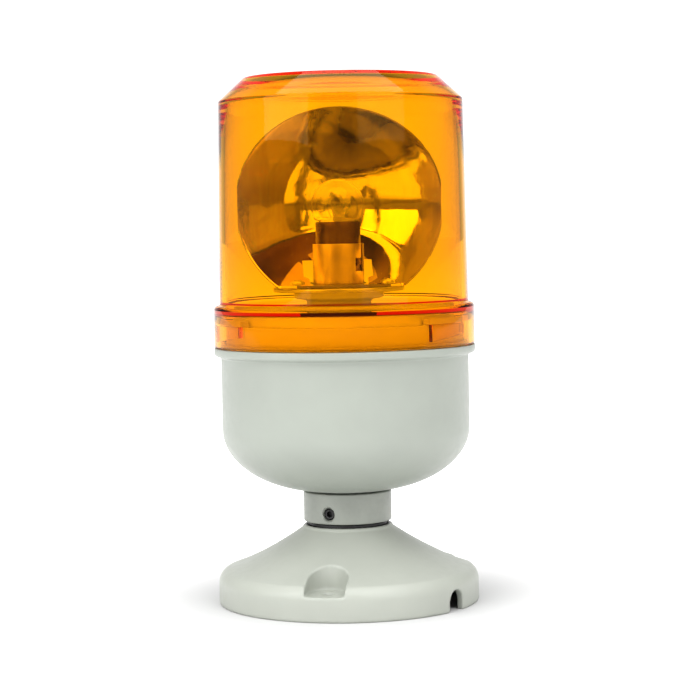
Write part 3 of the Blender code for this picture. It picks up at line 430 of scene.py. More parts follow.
def clear_amber(name, dark=(0.985, 0.63, 0.02), light=(0.995, 0.66, 0.03), index=AMBER_INDEX):
    """Glossy amber polycarbonate, coloured by its depth, with moulding ripples and wipe marks."""
    material, tree, shader = new_material(name)
    drift = noise(tree, 25, 2)
    tint(tree, drift.outputs["Fac"], shader, dark, light)
    ripple = noise(tree, 55, 1, stretch=(1, 1, 0.35))
    wipes = noise(tree, 300, 5, stretch=(1, 1, 0.12))
    tree.links.new(spread(tree, wipes.outputs["Fac"], 0.0, 0.03), shader.inputs["Roughness"])
    bump(tree, shader, [(ripple.outputs["Fac"], 0.05 * MM), (wipes.outputs["Fac"], 0.0006 * MM)])
    set_inputs(shader, IOR=index, Transmission_Weight=1.0, Specular_Tint=(1.0, 0.6, 0.2, 1.0))
    depth = tree.nodes.new("ShaderNodeVolumeAbsorption")
    depth.inputs["Color"].default_value = AMBER_COLOUR
    depth.inputs["Density"].default_value = AMBER_DENSITY
    tree.links.new(depth.outputs["Volume"], tree.nodes["Material Output"].inputs["Volume"])
    return material


def clear_glass(name):
    """Blown lamp glass with faint smears and waves."""
    material, tree, shader = new_material(name)
    smear = noise(tree, 500, 3)
    tree.links.new(spread(tree, smear.outputs["Fac"], 0.0, 0.02), shader.inputs["Roughness"])
    tint(tree, smear.outputs["Fac"], shader, (0.97, 0.98, 0.97), (1.0, 1.0, 1.0))
    ripple = noise(tree, 130, 1)
    bump(tree, shader, [(ripple.outputs["Fac"], 0.05 * MM)])
    set_inputs(shader, IOR=1.5, Transmission_Weight=1.0)
    return material


def mirror_coat(name):
    """Vacuum-coated mirror: slow ripples, hairline scratches and a little dust."""
    material, tree, shader = new_material(name)
    scratch = noise(tree, 900, 6, stretch=(1, 0.3, 0.05), roughness=0.7)
    dust = tree.nodes.new("ShaderNodeTexVoronoi")
    dust.inputs["Scale"].default_value = 700
    where = tree.nodes.new("ShaderNodeTexCoord")
    tree.links.new(where.outputs["Object"], dust.inputs["Vector"])
    specks = spread(tree, dust.outputs["Distance"], 0.35, 0.0, 0.03, 0.10)
    hair = spread(tree, scratch.outputs["Fac"], 0.03, 0.10, 0.45, 0.75)
    tree.links.new(calculate(tree, "MAXIMUM", specks, hair), shader.inputs["Roughness"])
    tint(tree, scratch.outputs["Fac"], shader, (0.88, 0.80, 0.70), (0.95, 0.88, 0.80))
    ripple = noise(tree, 70, 2)
    dimple = noise(tree, 240, 3)
    layers = [(ripple.outputs["Fac"], 0.07 * MM), (dimple.outputs["Fac"], 0.012 * MM)]
    bump(tree, shader, layers + [(scratch.outputs["Fac"], 0.002 * MM)])
    set_inputs(shader, Metallic=1.0)
    return material


def metal(name, dark, light, roughness, brushed=(1, 1, 0.06)):
    """Drawn or plated metal with fine marks along one direction and duller patches."""
    material, tree, shader = new_material(name)
    marks = noise(tree, 1800, 4, stretch=brushed)
    patch = noise(tree, 180, 4)
    tint(tree, patch.outputs["Fac"], shader, dark, light)
    level = spread(tree, patch.outputs["Fac"], roughness - 0.07, roughness + 0.1)
    tree.links.new(level, shader.inputs["Roughness"])
    bump(tree, shader, [(marks.outputs["Fac"], 0.003 * MM)])
    set_inputs(shader, Metallic=1.0)
    return material


def cast_paint(name, dark, light):
    """Satin paint over a cast collar: orange-peel and a few pits."""
    material, tree, shader = new_material(name)
    peel = noise(tree, 900, 3)
    patch = noise(tree, 150, 4)
    tint(tree, patch.outputs["Fac"], shader, dark, light)
    tree.links.new(spread(tree, peel.outputs["Fac"], 0.36, 0.5), shader.inputs["Roughness"])
    bump(tree, shader, [(patch.outputs["Fac"], 0.04 * MM), (peel.outputs["Fac"], 0.015 * MM)])
    set_inputs(shader, Metallic=0.25)
    return material


def soft_rubber(name, colour):
    """Dull material with a fine grain: rubber, silicone or ferrite."""
    material, tree, shader = new_material(name)
    grain = noise(tree, 1500, 4)
    tint(tree, grain.outputs["Fac"], shader, tuple(c * 0.85 for c in colour), colour)
    tree.links.new(spread(tree, grain.outputs["Fac"], 0.6, 0.8), shader.inputs["Roughness"])
    bump(tree, shader, [(grain.outputs["Fac"], 0.01 * MM)])
    return material


# One material for each slot of the record, then those that are used on part of a piece.
MATERIALS = {
    "base_grey": moulded_plastic("base_plastic", (0.415, 0.435, 0.385)),
    "housing_grey": moulded_plastic("housing_plastic", (0.315, 0.34, 0.30)),
    "collar_grey": cast_paint("collar_paint", (0.25, 0.265, 0.235), (0.30, 0.315, 0.28)),
    "amber_lens": clear_amber("amber_polycarbonate"),
    "mirror": mirror_coat("mirror_coat"),
    "brass": metal("brass_tube", (0.58, 0.46, 0.24), (0.70, 0.57, 0.32), 0.4),
    "bulb_brass": metal("bulb_brass", (0.08, 0.045, 0.02), (0.16, 0.095, 0.045), 0.34),
    "steel": metal("plain_steel", (0.50, 0.51, 0.52), (0.62, 0.63, 0.64), 0.34),
    "black_steel": metal("black_steel", (0.03, 0.03, 0.03), (0.06, 0.06, 0.06), 0.45),
    "zinc": metal("zinc_plate", (0.60, 0.60, 0.58), (0.75, 0.75, 0.74), 0.36),
    "white_nylon": moulded_plastic("white_nylon", (0.92, 0.92, 0.89), 0.45),
    "black_plastic": moulded_plastic("black_plastic", (0.03, 0.03, 0.03), 0.42),
    "red_wire": moulded_plastic("red_sleeve", (0.50, 0.03, 0.02), 0.45),
    "rubber": soft_rubber("black_rubber", (0.03, 0.03, 0.03)),
    "ferrite": soft_rubber("ferrite", (0.06, 0.06, 0.065)),
    "copper": metal("copper_winding", (0.62, 0.30, 0.16), (0.80, 0.42, 0.24), 0.36, (0.05, 0.05, 1)),
    "clear_glass": clear_glass("lamp_glass"),
    "tungsten": metal("tungsten", (0.25, 0.25, 0.26), (0.38, 0.38, 0.39), 0.4),
    "silicone": soft_rubber("silicone_seal", (0.75, 0.74, 0.70)),
    # Painted light: a pale grey that stands in for the backdrop's light seen through the lens skirt; it goes
    # on the housing's rim and hooks.
    "rim": moulded_plastic("rim_painted_backlight", (0.84, 0.84, 0.80), 0.45),
    "mirror_back": metal("mirror_back", (0.50, 0.50, 0.49), (0.62, 0.62, 0.61), 0.5),
    "amber_skirt": clear_amber("amber_skirt", (0.98, 0.585, 0.02), (0.99, 0.60, 0.02)),
    "amber_shoulder": clear_amber("amber_shoulder", index=SHOULDER_INDEX),
    "cement": moulded_plastic("lamp_cement", (0.85, 0.80, 0.70), 0.6),
}


def paint_frame_nodes():
    """Every CAD node gets the procedural material of its slot."""
    slots = {part["node"]: part["material_slot"] for part in frame["record"]["subparts"]}
    for node, item in frame["nodes"].items():
        material = MATERIALS[slots[node]]
        if not item.material_slots:
            item.data.materials.append(material)
        for slot in item.material_slots:
            slot.material = material


# ---------------------------- base

def base_outline(inset, arc_steps, flare_steps):
    """Shoulder and flare of the base, moved inwards by inset."""
    centre = (half_width("base_shell") - BASE_SHOULDER, BASE_WALL_TOP)
    points = arc(centre, BASE_SHOULDER - inset, BASE_SHOULDER - inset, 0, 61.5, arc_steps)
    control = (BASE_FLARE_MID[0] - 0.48 * inset, BASE_FLARE_MID[1] - 0.88 * inset)
    end = (BASE_FLARE_TOP[0] + 0.3 * inset, BASE_FLARE_TOP[1] - 1.1 * inset)
    return points + bezier(points[-1], control, end, flare_steps)


def slot_outline(radius, start, end):
    """A slot along +X with a round inner end."""
    steps = 32
    turns = [math.radians(90 + 180 * k / steps) for k in range(steps + 1)]
    inner_end = [(start + radius * math.cos(a), radius * math.sin(a)) for a in turns]
    return inner_end + [(end, -radius), (end, radius)]


def base_hollow():
    """The space under the base, less the walls and bosses of the screw pockets."""
    wall_r = half_width("base_shell") - BASE_SKIN
    inside = [(0, -MM), (wall_r, -MM)] + base_outline(BASE_SKIN, 8, 18)
    inside += [(15 * MM, 21.4 * MM), (15 * MM, 10.5 * MM), (0, 10.5 * MM)]
    hollow = shape("hollow", lambda mesh: spin_into(mesh, inside, HOUSING_STEPS))
    walls = slot_outline(POCKET_R + 2.2 * MM, FIXING_CIRCLE_R, POCKET_END)
    boss = circle(4.8 * MM, 32, (FIXING_CIRCLE_R, 0))
    keep = []
    for azimuth in POCKET_AZIMUTHS:
        turn = direction_turn(azimuth)
        keep.append((lambda m: prism_into(m, walls, POCKET_FLOOR - 3.2 * MM, 40 * MM), turn))
        keep.append((lambda m: prism_into(m, boss, -2 * MM, 6 * MM), turn))
    return combine(hollow, "DIFFERENCE", keep)


def notch_into(mesh):
    """An arched cable way, drawn along +Z."""
    turns = [math.radians(180 * k / 24) for k in range(25)]
    arch = [(NOTCH_R * math.cos(a), NOTCH_R - 0.4 * MM + NOTCH_R * math.sin(a)) for a in turns]
    arch += [(-NOTCH_R, -2 * MM), (NOTCH_R, -2 * MM)]
    prism_into(mesh, [(-z, y) for y, z in arch], 37 * MM, 50 * MM)


def base_cuts():
    """The screw pockets and their holes, the cable way and the stem's seat."""
    pocket = slot_outline(POCKET_R, FIXING_CIRCLE_R, POCKET_END)
    edge_r = FIXING_HOLE_R + 0.5 * MM
    hole = [(0, -3 * MM), (FIXING_HOLE_R, -3 * MM), (FIXING_HOLE_R, POCKET_FLOOR - 0.5 * MM)]
    hole += [(edge_r, POCKET_FLOOR), (edge_r, 12 * MM), (0, 12 * MM)]
    cuts = []
    for azimuth in POCKET_AZIMUTHS:
        turn = direction_turn(azimuth)
        cuts.append((lambda m: prism_into(m, pocket, POCKET_FLOOR, 41 * MM), turn))
        move = turn @ Matrix.Translation((FIXING_CIRCLE_R, 0, 0))
        cuts.append((lambda m: spin_into(m, hole, 32), move))
    cuts.append((notch_into, lying_at(NOTCH_AZIMUTH, 0)))
    seat = [(0, 5 * MM), (10.4 * MM, 5 * MM), (10.4 * MM, 24 * MM)]
    seat += [(13.6 * MM, 24 * MM), (13.6 * MM, 30 * MM), (0, 30 * MM)]
    return cuts + [(lambda m: spin_into(m, seat, TUBE_STEPS), None)]


def make_base():
    """The flared base: turned outside, cut pockets, then a fine remesh that softens every edge."""
    radius, height = half_width("base_shell"), top("base_shell")
    outside = [(0, 0), (radius - 0.4 * MM, 0), (radius, 0.4 * MM)] + base_outline(0, 12, 30)
    outside += [(BASE_FLARE_TOP[0], height - 0.6 * MM), (14.9 * MM, height - 0.15 * MM)]
    outside += [(14.5 * MM, height), (0, height)]
    shell = shape("base_casting", lambda mesh: spin_into(mesh, outside, HOUSING_STEPS))
    combine(shell, "DIFFERENCE", base_cuts())
    hollow = base_hollow()
    add_boolean(shell, "DIFFERENCE", hollow)
    remesh = shell.modifiers.new("remesh", "REMESH")
    remesh.mode = "VOXEL"
    remesh.voxel_size = REMESH_SIZE
    soften = shell.modifiers.new("soften", "SMOOTH")
    soften.factor = 0.5
    soften.iterations = 3
    apply_modifiers(shell)
    bpy.data.objects.remove(hollow, do_unlink=True)
    shell.data.shade_smooth()
    dress(shell, "base", "base_grey", "base_shell")


def make_stem():
    """The stem: a tube with a groove for the grub screws, and a black band of painted shade on its shoulder,
    where the gap under the collar lies in shadow.
    """
    groove_low, groove_high = SET_SCREW_Z - 1.4 * MM, SET_SCREW_Z + 1.4 * MM
    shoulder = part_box("stem_pipe")[1].x
    low, high = bottom("stem_pipe"), top("stem_pipe")
    profile = [(STEM_BORE_R, low), (STEM_R, low), (STEM_R, STEM_SHOULDER_LOW), (shoulder, STEM_SHOULDER_LOW)]
    profile += [(shoulder, STEM_SHOULDER_TOP), (STEM_R, STEM_SHOULDER_TOP), (STEM_R, groove_low)]
    profile += [(STEM_R - MM, groove_low), (STEM_R - MM, groove_high), (STEM_R, groove_high)]
    profile += [(STEM_R, high), (STEM_BORE_R, high)]
    pipe = shape("stem_tube", lambda mesh: spin_into(mesh, rounded(profile, 0.3 * MM, 3), TUBE_STEPS))
    dress(pipe, "base", "steel", "stem_pipe")
    # Painted shade: the shoulder between the base and the collar is given black steel to stand for the
    # shadow in that gap.
    gap_shade_band = (STEM_SHOULDER_LOW - 0.1 * MM, STEM_SHOULDER_TOP + 0.6 * MM)
    paint_faces(pipe, "black_steel", lambda centre: gap_shade_band[0] < centre.z < gap_shade_band[1])


# ---------------------------- head housing

def make_collar():
    """The collar with its spigot, its screw holes and three grub screws."""
    low, high = bottom("neck_collar"), top("neck_collar")
    outer, bore, spigot = half_width("neck_collar"), 10.25 * MM, 12.6 * MM
    shoulder_z = 37.3 * MM
    profile = [(bore, low), (outer, low), (outer, shoulder_z)]
    profile += [(spigot, shoulder_z), (spigot, high), (bore, high)]
    collar = shape("collar_casting", lambda m: spin_into(m, rounded(profile, 0.5 * MM, 4), TUBE_STEPS))
    hole = [(0, 6 * MM), (2.1 * MM, 6 * MM), (2.1 * MM, outer - 0.5 * MM)]
    hole += [(2.6 * MM, outer), (2.6 * MM, 20 * MM), (0, 20 * MM)]
    places = [lying_at(azimuth, SET_SCREW_Z) for azimuth in SET_SCREW_AZIMUTHS]
    combine(collar, "DIFFERENCE", [(lambda m: spin_into(m, hole, 32), place) for place in places])
    dress(collar, "head", "collar_grey", "neck_collar")

    screw = [(0, 9.4 * MM), (1.0 * MM, 9.4 * MM), (1.1 * MM, 10.4 * MM), (1.9 * MM, 11.0 * MM)]
    screw += [(1.9 * MM, 13.3 * MM), (1.6 * MM, 13.7 * MM), (0, 13.7 * MM)]
    socket = circle(1.15 * MM, 6)
    for number, place in enumerate(places, start=1):
        item = shape(f"grub_screw_{number}", lambda m: spin_into(m, screw, 32), place)
        combine(item, "DIFFERENCE", [(lambda m: prism_into(m, socket, 12 * MM, 16 * MM), place)])
        dress(item, "head", "black_steel", f"set_screw_{number}")


def body_profile():
    """Section of the bowl: foot, rounded side, lip and rim outside, then the inside back down."""
    start = math.degrees(math.acos((13.4 * MM - BODY_CORNER_CENTRE[0]) / BODY_CORNER_HALF[0]))
    outside = [(12.9 * MM, 37.6 * MM)] + arc(BODY_CORNER_CENTRE, *BODY_CORNER_HALF, -start, 0, 30)
    outside += [(BODY_R, 66 * MM), (BODY_R, 74 * MM)]
    fillet_r = 1.0 * MM
    outside += arc((BODY_R + fillet_r, 82.2 * MM), fillet_r, fillet_r, 180, 90, 6)
    lip_r = half_width("body_shell")
    outside += arc((lip_r - 1.1 * MM, 84.3 * MM), 1.1 * MM, 1.1 * MM, -90, 0, 6)
    outside += arc((lip_r - 0.35 * MM, LIP_TOP - 0.35 * MM), 0.35 * MM, 0.35 * MM, 0, 90, 4)
    outside += [(RIM_R + 0.3 * MM, LIP_TOP), (RIM_R, LIP_TOP + 0.3 * MM)]
    outside += arc((RIM_R - 0.3 * MM, RIM_TOP - 0.3 * MM), 0.3 * MM, 0.3 * MM, 0, 90, 3)
    half = (BODY_CORNER_HALF[0] - BODY_SKIN, BODY_CORNER_HALF[1] - BODY_SKIN)
    start = math.degrees(math.acos((20.5 * MM - BODY_CORNER_CENTRE[0]) / half[0]))
    inside = [(37.6 * MM, RIM_TOP), (37.6 * MM, 81 * MM), (BODY_R - BODY_SKIN, 79.6 * MM)]
    inside += arc(BODY_CORNER_CENTRE, *half, 0, -start, 16)
    return outside + inside + [(20.5 * MM, 40.8 * MM), (12.9 * MM, 40.8 * MM)]


def make_body():
    """The bowl with its bayonet hooks and screw bosses, and the seal around its rim."""
    shell = shape("body_bowl", lambda mesh: spin_into(mesh, body_profile(), HOUSING_STEPS), smooth_angle=40)
    additions, holes = [], []
    for azimuth in BAYONET_AZIMUTHS:
        web = sector_outline(38.0 * MM, 39.2 * MM, azimuth, 25)
        hook = sector_outline(38.4 * MM, 41.2 * MM, azimuth, 26)
        additions.append((lambda m, o=web: prism_into(m, o, 92 * MM, 95.4 * MM), None))
        additions.append((lambda m, o=hook: prism_into(m, o, 94.0 * MM, 95.8 * MM), None))
    rib_low, rib_high = (34 * MM, -1.3 * MM, 61 * MM), (40 * MM, 1.3 * MM, 77.2 * MM)
    for number in (1, 2, 3):
        spot = middle(f"chassis_screw_{number}")
        turn = Matrix.Rotation(math.atan2(spot.y, spot.x), 4, "Z")
        reach = math.hypot(spot.x, spot.y)
        boss = circle(3.4 * MM, 32, (reach, 0))
        hole = circle(1.75 * MM, 24, (reach, 0))
        additions.append((lambda m, o=boss: prism_into(m, o, 62 * MM, 77.7 * MM), turn))
        additions.append((lambda m: box_into(m, rib_low, rib_high), turn))
        holes.append((lambda m, o=hole: prism_into(m, o, 66 * MM, 79 * MM), turn))
    combine(shell, "UNION", additions)
    combine(shell, "DIFFERENCE", holes)
    dress(shell, "head", "housing_grey", "body_shell")
    # Painted light: the rim and hooks above the lip are painted pale, so the band behind the skirt looks lit
    # through by the backdrop.
    paint_faces(shell, "rim", lambda centre: centre.z > LIP_TOP + 0.1 * MM)
    section = arc((40.6 * MM, 87.0 * MM), 0.65 * MM, 0.65 * MM, 0, 330, 11)
    ring = shape("rim_seal", lambda mesh: spin_into(mesh, section, HOUSING_STEPS))
    dress(ring, "head", "rubber", "rim_gasket", "silicone")


# ---------------------------- lens

def lens_profile():
    """Section of the lens: skirt, shoulder, wall, chamfer and crown outside, then the inner wall."""
    skirt_r, low, high = half_width("lens"), bottom("lens"), top("lens") - 0.5 * MM
    shoulder = 1.5 * MM
    outside = [(skirt_r - 0.25 * MM, low), (skirt_r, low + 0.25 * MM)]
    outside += arc((skirt_r - 0.15 * MM - shoulder, 98.7 * MM), shoulder, shoulder, 0, 82, 8)
    outside += arc((41.62 * MM + 0.45 * MM, 100.75 * MM), 0.45 * MM, 0.45 * MM, 255, 180, 4)
    outside += [(41.35 * MM, 124 * MM), (41.08 * MM, 146 * MM)]
    outside += arc((40.0 * MM, 167.4 * MM), 0.8 * MM, 0.8 * MM, 0, 46, 5)
    outside += arc((32.15 * MM, 174.5 * MM), 0.9 * MM, 0.9 * MM, 46, 86, 4)
    crown = [(24 * MM, high - 0.33 * MM), (12 * MM, high - 0.08 * MM), (2.2 * MM, high)]
    nub = [(2.0 * MM, high + 0.15 * MM), (1.7 * MM, high + 0.45 * MM), (0.9 * MM, high + 0.5 * MM)]
    nub += [(0.6 * MM, high + 0.2 * MM), (0, high + 0.2 * MM)]
    inside = [(0, high - 2.0 * MM), (14 * MM, high - 2.06 * MM), (30.6 * MM, high - 2.4 * MM)]
    inside += [(31.3 * MM, high - 2.55 * MM), (38.45 * MM, 167.15 * MM), (38.75 * MM, 166.6 * MM)]
    inside += [(39.05 * MM, 145 * MM), (39.35 * MM, 123 * MM), (39.6 * MM, 101.2 * MM)]
    return outside + crown + nub + inside


def lens_skirt_inside(turn_deg):
    """The inner skirt at one angle: a plain wall, or a bayonet lug with a ramped lower edge."""
    wall_r, lug_r = 41.65 * MM, 40.0 * MM
    lug_high, ramp = 93.7 * MM, 2.0 * MM
    offset = min(((turn_deg - (az - 90) + 180) % 360 - 180 for az in BAYONET_AZIMUTHS), key=abs)
    on_lug = abs(offset) <= LUG_HALF_ANGLE
    along = max(-LUG_HALF_ANGLE, min(LUG_HALF_ANGLE, offset)) + LUG_HALF_ANGLE
    lug_low = 88.2 * MM + ramp * along / (2 * LUG_HALF_ANGLE)
    r = lug_r if on_lug else wall_r
    low = bottom("lens")
    return [(39.75 * MM, 98.9 * MM), (40.1 * MM, 98.3 * MM), (41.4 * MM, 97.6 * MM), (wall_r, 97.2 * MM),
            (wall_r, lug_high), (r, lug_high), (r, lug_low), (wall_r, lug_low), (wall_r + 0.05 * MM, low)]


def lens_into(mesh):
    """One column of points for each angle, with close pairs of columns at the lugs' ends."""
    edges = []
    for azimuth in BAYONET_AZIMUTHS:
        for side in (-LUG_HALF_ANGLE, LUG_HALF_ANGLE):
            edges += [(azimuth - 90 + side + step) % 360 for step in (-0.12, 0.12)]
    regular = [360 * k / HOUSING_STEPS for k in range(HOUSING_STEPS)]
    clear = [a for a in regular if all(abs((a - e + 180) % 360 - 180) > 0.6 for e in edges)]
    turns = sorted(clear + edges)
    shared = lens_profile()
    columns = []
    centres = {}
    for turn in turns:
        angle = math.radians(turn)
        column = []
        for index, (r, z) in enumerate(shared + lens_skirt_inside(turn)):
            if r < ON_AXIS:
                if index not in centres:
                    centres[index] = mesh.verts.new((0, 0, z))
                column.append(centres[index])
                continue
            column.append(mesh.verts.new((r * math.cos(angle), r * math.sin(angle), z)))
        columns.append(column)
    count = len(columns[0])
    for k, column in enumerate(columns):
        after = columns[(k + 1) % len(columns)]
        for i in range(count):
            j = (i + 1) % count
            corners = list(dict.fromkeys([column[i], after[i], after[j], column[j]]))
            if len(corners) > 2:
                mesh.faces.new(corners)
    bmesh.ops.remove_doubles(mesh, verts=mesh.verts, dist=0.001 * MM)


def make_lens():
    lens = shape("amber_dome", lens_into, smooth_angle=38)
    dress(lens, "lens_cover", "amber_lens", "lens")
    paint_faces(lens, "amber_skirt", lambda centre: centre.z < SKIRT_TOP)
    paint_faces(lens, "amber_shoulder", lambda centre: SHOULDER_RANGE[0] < centre.z < SHOULDER_RANGE[1])


# ---------------------------- mirror and turntable

def mirror_depth(across, height):
    """How far back the mirror's face lies, at a distance across and above its middle."""
    return MIRROR_FOCUS - (across ** 2 + height ** 2) / (4 * MIRROR_FOCUS)


def mirror_bowl_into(mesh):
    """A thin paraboloid with a narrow rolled lip, open towards -Y."""
    rim_r = top("reflector") - MIRROR_Z
    face_r = rim_r - 0.9 * MM
    steps = 36
    face = [(face_r * k / steps, mirror_depth(face_r * k / steps, 0)) for k in range(steps + 1)]
    edge = mirror_depth(face_r, 0)
    roll = [(face_r + 0.25 * MM, edge - 0.35 * MM), (face_r + 0.6 * MM, edge - 0.4 * MM)]
    roll += [(rim_r, edge - 0.1 * MM), (rim_r, edge + 0.6 * MM)]
    back = [(r, depth + MIRROR_SKIN * math.hypot(1, r / (2 * MIRROR_FOCUS))) for r, depth in face]
    spin_into(mesh, face + roll + back[::-1], HOUSING_STEPS)
    lay = Matrix.Translation((0, 0, MIRROR_Z)) @ Matrix.Rotation(math.radians(-90), 4, "X")
    bmesh.ops.transform(mesh, matrix=lay, verts=mesh.verts)


def mirror_foot_into(mesh):
    """The flat flange that the mirror stands on, reaching forwards under the lamp."""
    low = bottom("reflector")
    half, front, thick = 20.6 * MM, -14.6 * MM, 0.8 * MM
    steps = 24
    widths = [half * (2 * k / steps - 1) for k in range(steps + 1)]
    back = [(x, mirror_depth(x, MIRROR_Z - low) + 1.0 * MM) for x in widths]
    prism_into(mesh, back + [(15.5 * MM, front), (-15.5 * MM, front)], low, low + thick)


def is_mirror_back(centre):
    """Whether a point lies behind the middle of the mirror's skin."""
    spot = ROTOR_TURN.inverted() @ centre
    return spot.y > mirror_depth(spot.x, spot.z - MIRROR_Z) + MIRROR_SKIN / 2


def make_mirror():
    """The bowl, trimmed at the sides, with its flange and the openings around the lamp holder."""
    keep_low = (-MIRROR_FLAT, -40 * MM, bottom("reflector"))
    keep_high = (MIRROR_FLAT, 40 * MM, MIRROR_TRIM_TOP)
    window_low, window_high = (-11.8 * MM, -0.5 * MM, 100 * MM), (11.8 * MM, 30 * MM, 114.3 * MM)
    item = shape("mirror_bowl", mirror_bowl_into, smooth_angle=30)
    combine(item, "INTERSECT", [(lambda m: box_into(m, keep_low, keep_high), None)], 30)
    combine(item, "UNION", [(mirror_foot_into, None)], 30)
    clearance = (lambda m: prism_into(m, circle(10 * MM, 64), 100 * MM, 121.5 * MM), None)
    window = (lambda m: box_into(m, window_low, window_high), None)
    combine(item, "DIFFERENCE", [clearance, window], 30)
    item.data.transform(ROTOR_TURN)
    dress(item, "rotor", "mirror", "reflector")
    paint_faces(item, "mirror_back", is_mirror_back)
    for number in (1, 2):
        make_screw(f"mirror_screw_{number}", f"reflector_screw_{number}", "rotor", 2.4 * MM, 1.7 * MM)


def make_screw(name, node, body, head_r, head_height):
    """A pan-head screw with a cross recess, standing where its CAD node stands."""
    low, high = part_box(node)
    spot = middle(node)
    under = high.z - head_height
    shank_r = 0.45 * head_r
    profile = [(0, low.z), (shank_r - 0.2 * MM, low.z), (shank_r, low.z + 0.3 * MM)]
    profile += [(shank_r, under), (head_r - 0.1 * MM, under)]
    profile += arc((0, under + 0.25 * head_height), head_r, 0.75 * head_height, 0, 90, 10)[:-1]
    profile += [(0, high.z)]
    place = Matrix.Translation((spot.x, spot.y, 0))
    item = shape(name, lambda m: spin_into(m, profile, SCREW_STEPS), place)
    half, reach, floor = 0.16 * head_r, 0.62 * head_r, high.z - 0.55 * head_height
    turn = Matrix.Rotation(math.radians(35), 4, "Z")
    bars = [
        (lambda m: box_into(m, (-reach, -half, floor), (reach, half, high.z + MM)), place @ turn),
        (lambda m: box_into(m, (-half, -reach, floor), (half, reach, high.z + MM)), place @ turn),
    ]
    combine(item, "DIFFERENCE", bars)
    dress(item, body, "zinc", node)


def make_turntable():
    low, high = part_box("turntable_plate")
    outer, bore = half_width("turntable_plate"), 9.3 * MM
    profile = rounded([(bore, low.z), (outer, low.z), (outer, high.z), (bore, high.z)], 0.3 * MM, 3)
    plate = shape("turntable_disc", lambda m: spin_into(m, profile, TUBE_STEPS), ON_LAMP_AXIS)
    dress(plate, "rotor", "zinc", "turntable_plate")
    for number in (1, 2):
        make_screw(f"plate_screw_{number}", f"turntable_screw_{number}", "rotor", 2.0 * MM, 1.2 * MM)


def tooth_outline(teeth, module, tooth_angle):
    """Involute teeth of 20 degrees with a little backlash, one centred on tooth_angle."""
    pressure = math.radians(20)
    pitch_r = teeth * module / 2
    base_r = pitch_r * math.cos(pressure)
    tip_r, root_r = pitch_r + 0.9 * module, pitch_r - 1.25 * module
    start_r = max(base_r, root_r)
    half_tooth = math.pi / (2 * teeth) - 0.04 * MM / pitch_r + math.tan(pressure) - pressure
    flank = []
    for step in range(5):
        r = start_r + (tip_r - start_r) * step / 4
        angle = math.acos(min(1.0, base_r / r))
        flank.append((r, half_tooth - (math.tan(angle) - angle)))
    points = []
    for tooth in range(teeth):
        centre = tooth_angle + 2 * math.pi * tooth / teeth
        points += [(r * math.cos(centre - half), r * math.sin(centre - half)) for r, half in flank]
        points += [(r * math.cos(centre + half), r * math.sin(centre + half)) for r, half in reversed(flank)]
    return points


def make_rotor_gear():
    """The large gear and, above it, the hub that carries the turntable."""
    low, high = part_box("rotor_gear")
    hub_r, flange_r, bore = 10.8 * MM, 15.0 * MM, 8.35 * MM
    idler = middle("idler_pin") - LAMP_AXIS
    outline = tooth_outline(GEAR_TEETH, GEAR_MODULE, math.atan2(idler.y, idler.x))
    hub = [(0, low.z), (hub_r - 0.3 * MM, low.z), (hub_r, low.z + 0.3 * MM), (hub_r, 100.2 * MM)]
    hub += bezier((hub_r, 100.2 * MM), (hub_r, 101.2 * MM), (flange_r - 0.8 * MM, 101.4 * MM), 8)
    hub += [(flange_r, 101.8 * MM), (flange_r, high.z), (0, high.z)]
    gear = shape("drive_gear", lambda m: prism_into(m, outline, GEAR_LOW, GEAR_TOP), ON_LAMP_AXIS)
    combine(gear, "UNION", [(lambda m: spin_into(m, hub, TUBE_STEPS), ON_LAMP_AXIS)])
    hole = circle(bore, 64)
    combine(gear, "DIFFERENCE", [(lambda m: prism_into(m, hole, 80 * MM, 106 * MM), ON_LAMP_AXIS)])
    dress(gear, "rotor", "white_nylon", "rotor_gear")


# ---------------------------- chassis

def make_chassis():
    """The plate that carries the mechanism, with a hole for each thing that passes it."""
    low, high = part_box("chassis_plate")
    radius = half_width("chassis_plate")
    corners = [(0, low.z), (radius, low.z), (radius, high.z), (0, high.z)]
    profile = rounded(corners, [0, 0.3 * MM, 0.3 * MM, 0], 3)
    plate = shape("chassis_disc", lambda m: spin_into(m, profile, HOUSING_STEPS))
    holes = [("centre_post", 6.9 * MM), ("idler_pin", 1.9 * MM), ("motor_shaft", 3.5 * MM)]
    holes += [(f"motor_screw_{k}", 1.6 * MM) for k in (1, 2)]
    holes += [(f"chassis_screw_{k}", 1.8 * MM) for k in (1, 2, 3)]
    cuts = []
    for node, hole_r in holes:
        spot = middle(node)
        hole = circle(hole_r, 32, (spot.x, spot.y))
        cuts.append((lambda m, o=hole: prism_into(m, o, low.z - 2 * MM, high.z + 2 * MM), None))
    combine(plate, "DIFFERENCE", cuts)
    dress(plate, "head", "white_nylon", "chassis_plate")
    for number in (1, 2, 3):
        make_screw(f"plate_fixing_{number}", f"chassis_screw_{number}", "head", 2.6 * MM, 1.8 * MM)
    for number in (1, 2):
        make_screw(f"motor_fixing_{number}", f"motor_screw_{number}", "head", 2.2 * MM, 1.4 * MM)


def make_gear_cover():
    """An upturned shallow cup with a hole on the rotor's axis."""
    low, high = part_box("gear_cover")
    radius, wall, skin, hole_r = half_width("gear_cover"), 0.9 * MM, 1.2 * MM, 15.6 * MM
    profile = [(0, high.z), (radius, high.z), (radius, low.z), (radius - wall, low.z)]
    profile += [(radius - wall, high.z - skin), (0, high.z - skin)]
    radii = [0, 0.7 * MM, 0.2 * MM, 0.2 * MM, 0.4 * MM, 0]
    cover = shape("deck_cover", lambda m: spin_into(m, rounded(profile, radii), HOUSING_STEPS))
    hole = circle(hole_r, TUBE_STEPS, (LAMP_AXIS.x, 0))
    combine(cover, "DIFFERENCE", [(lambda m: prism_into(m, hole, high.z - 3 * MM, high.z + MM), None)])
    dress(cover, "head", "white_nylon", "gear_cover")


# ---------------------------- lamp

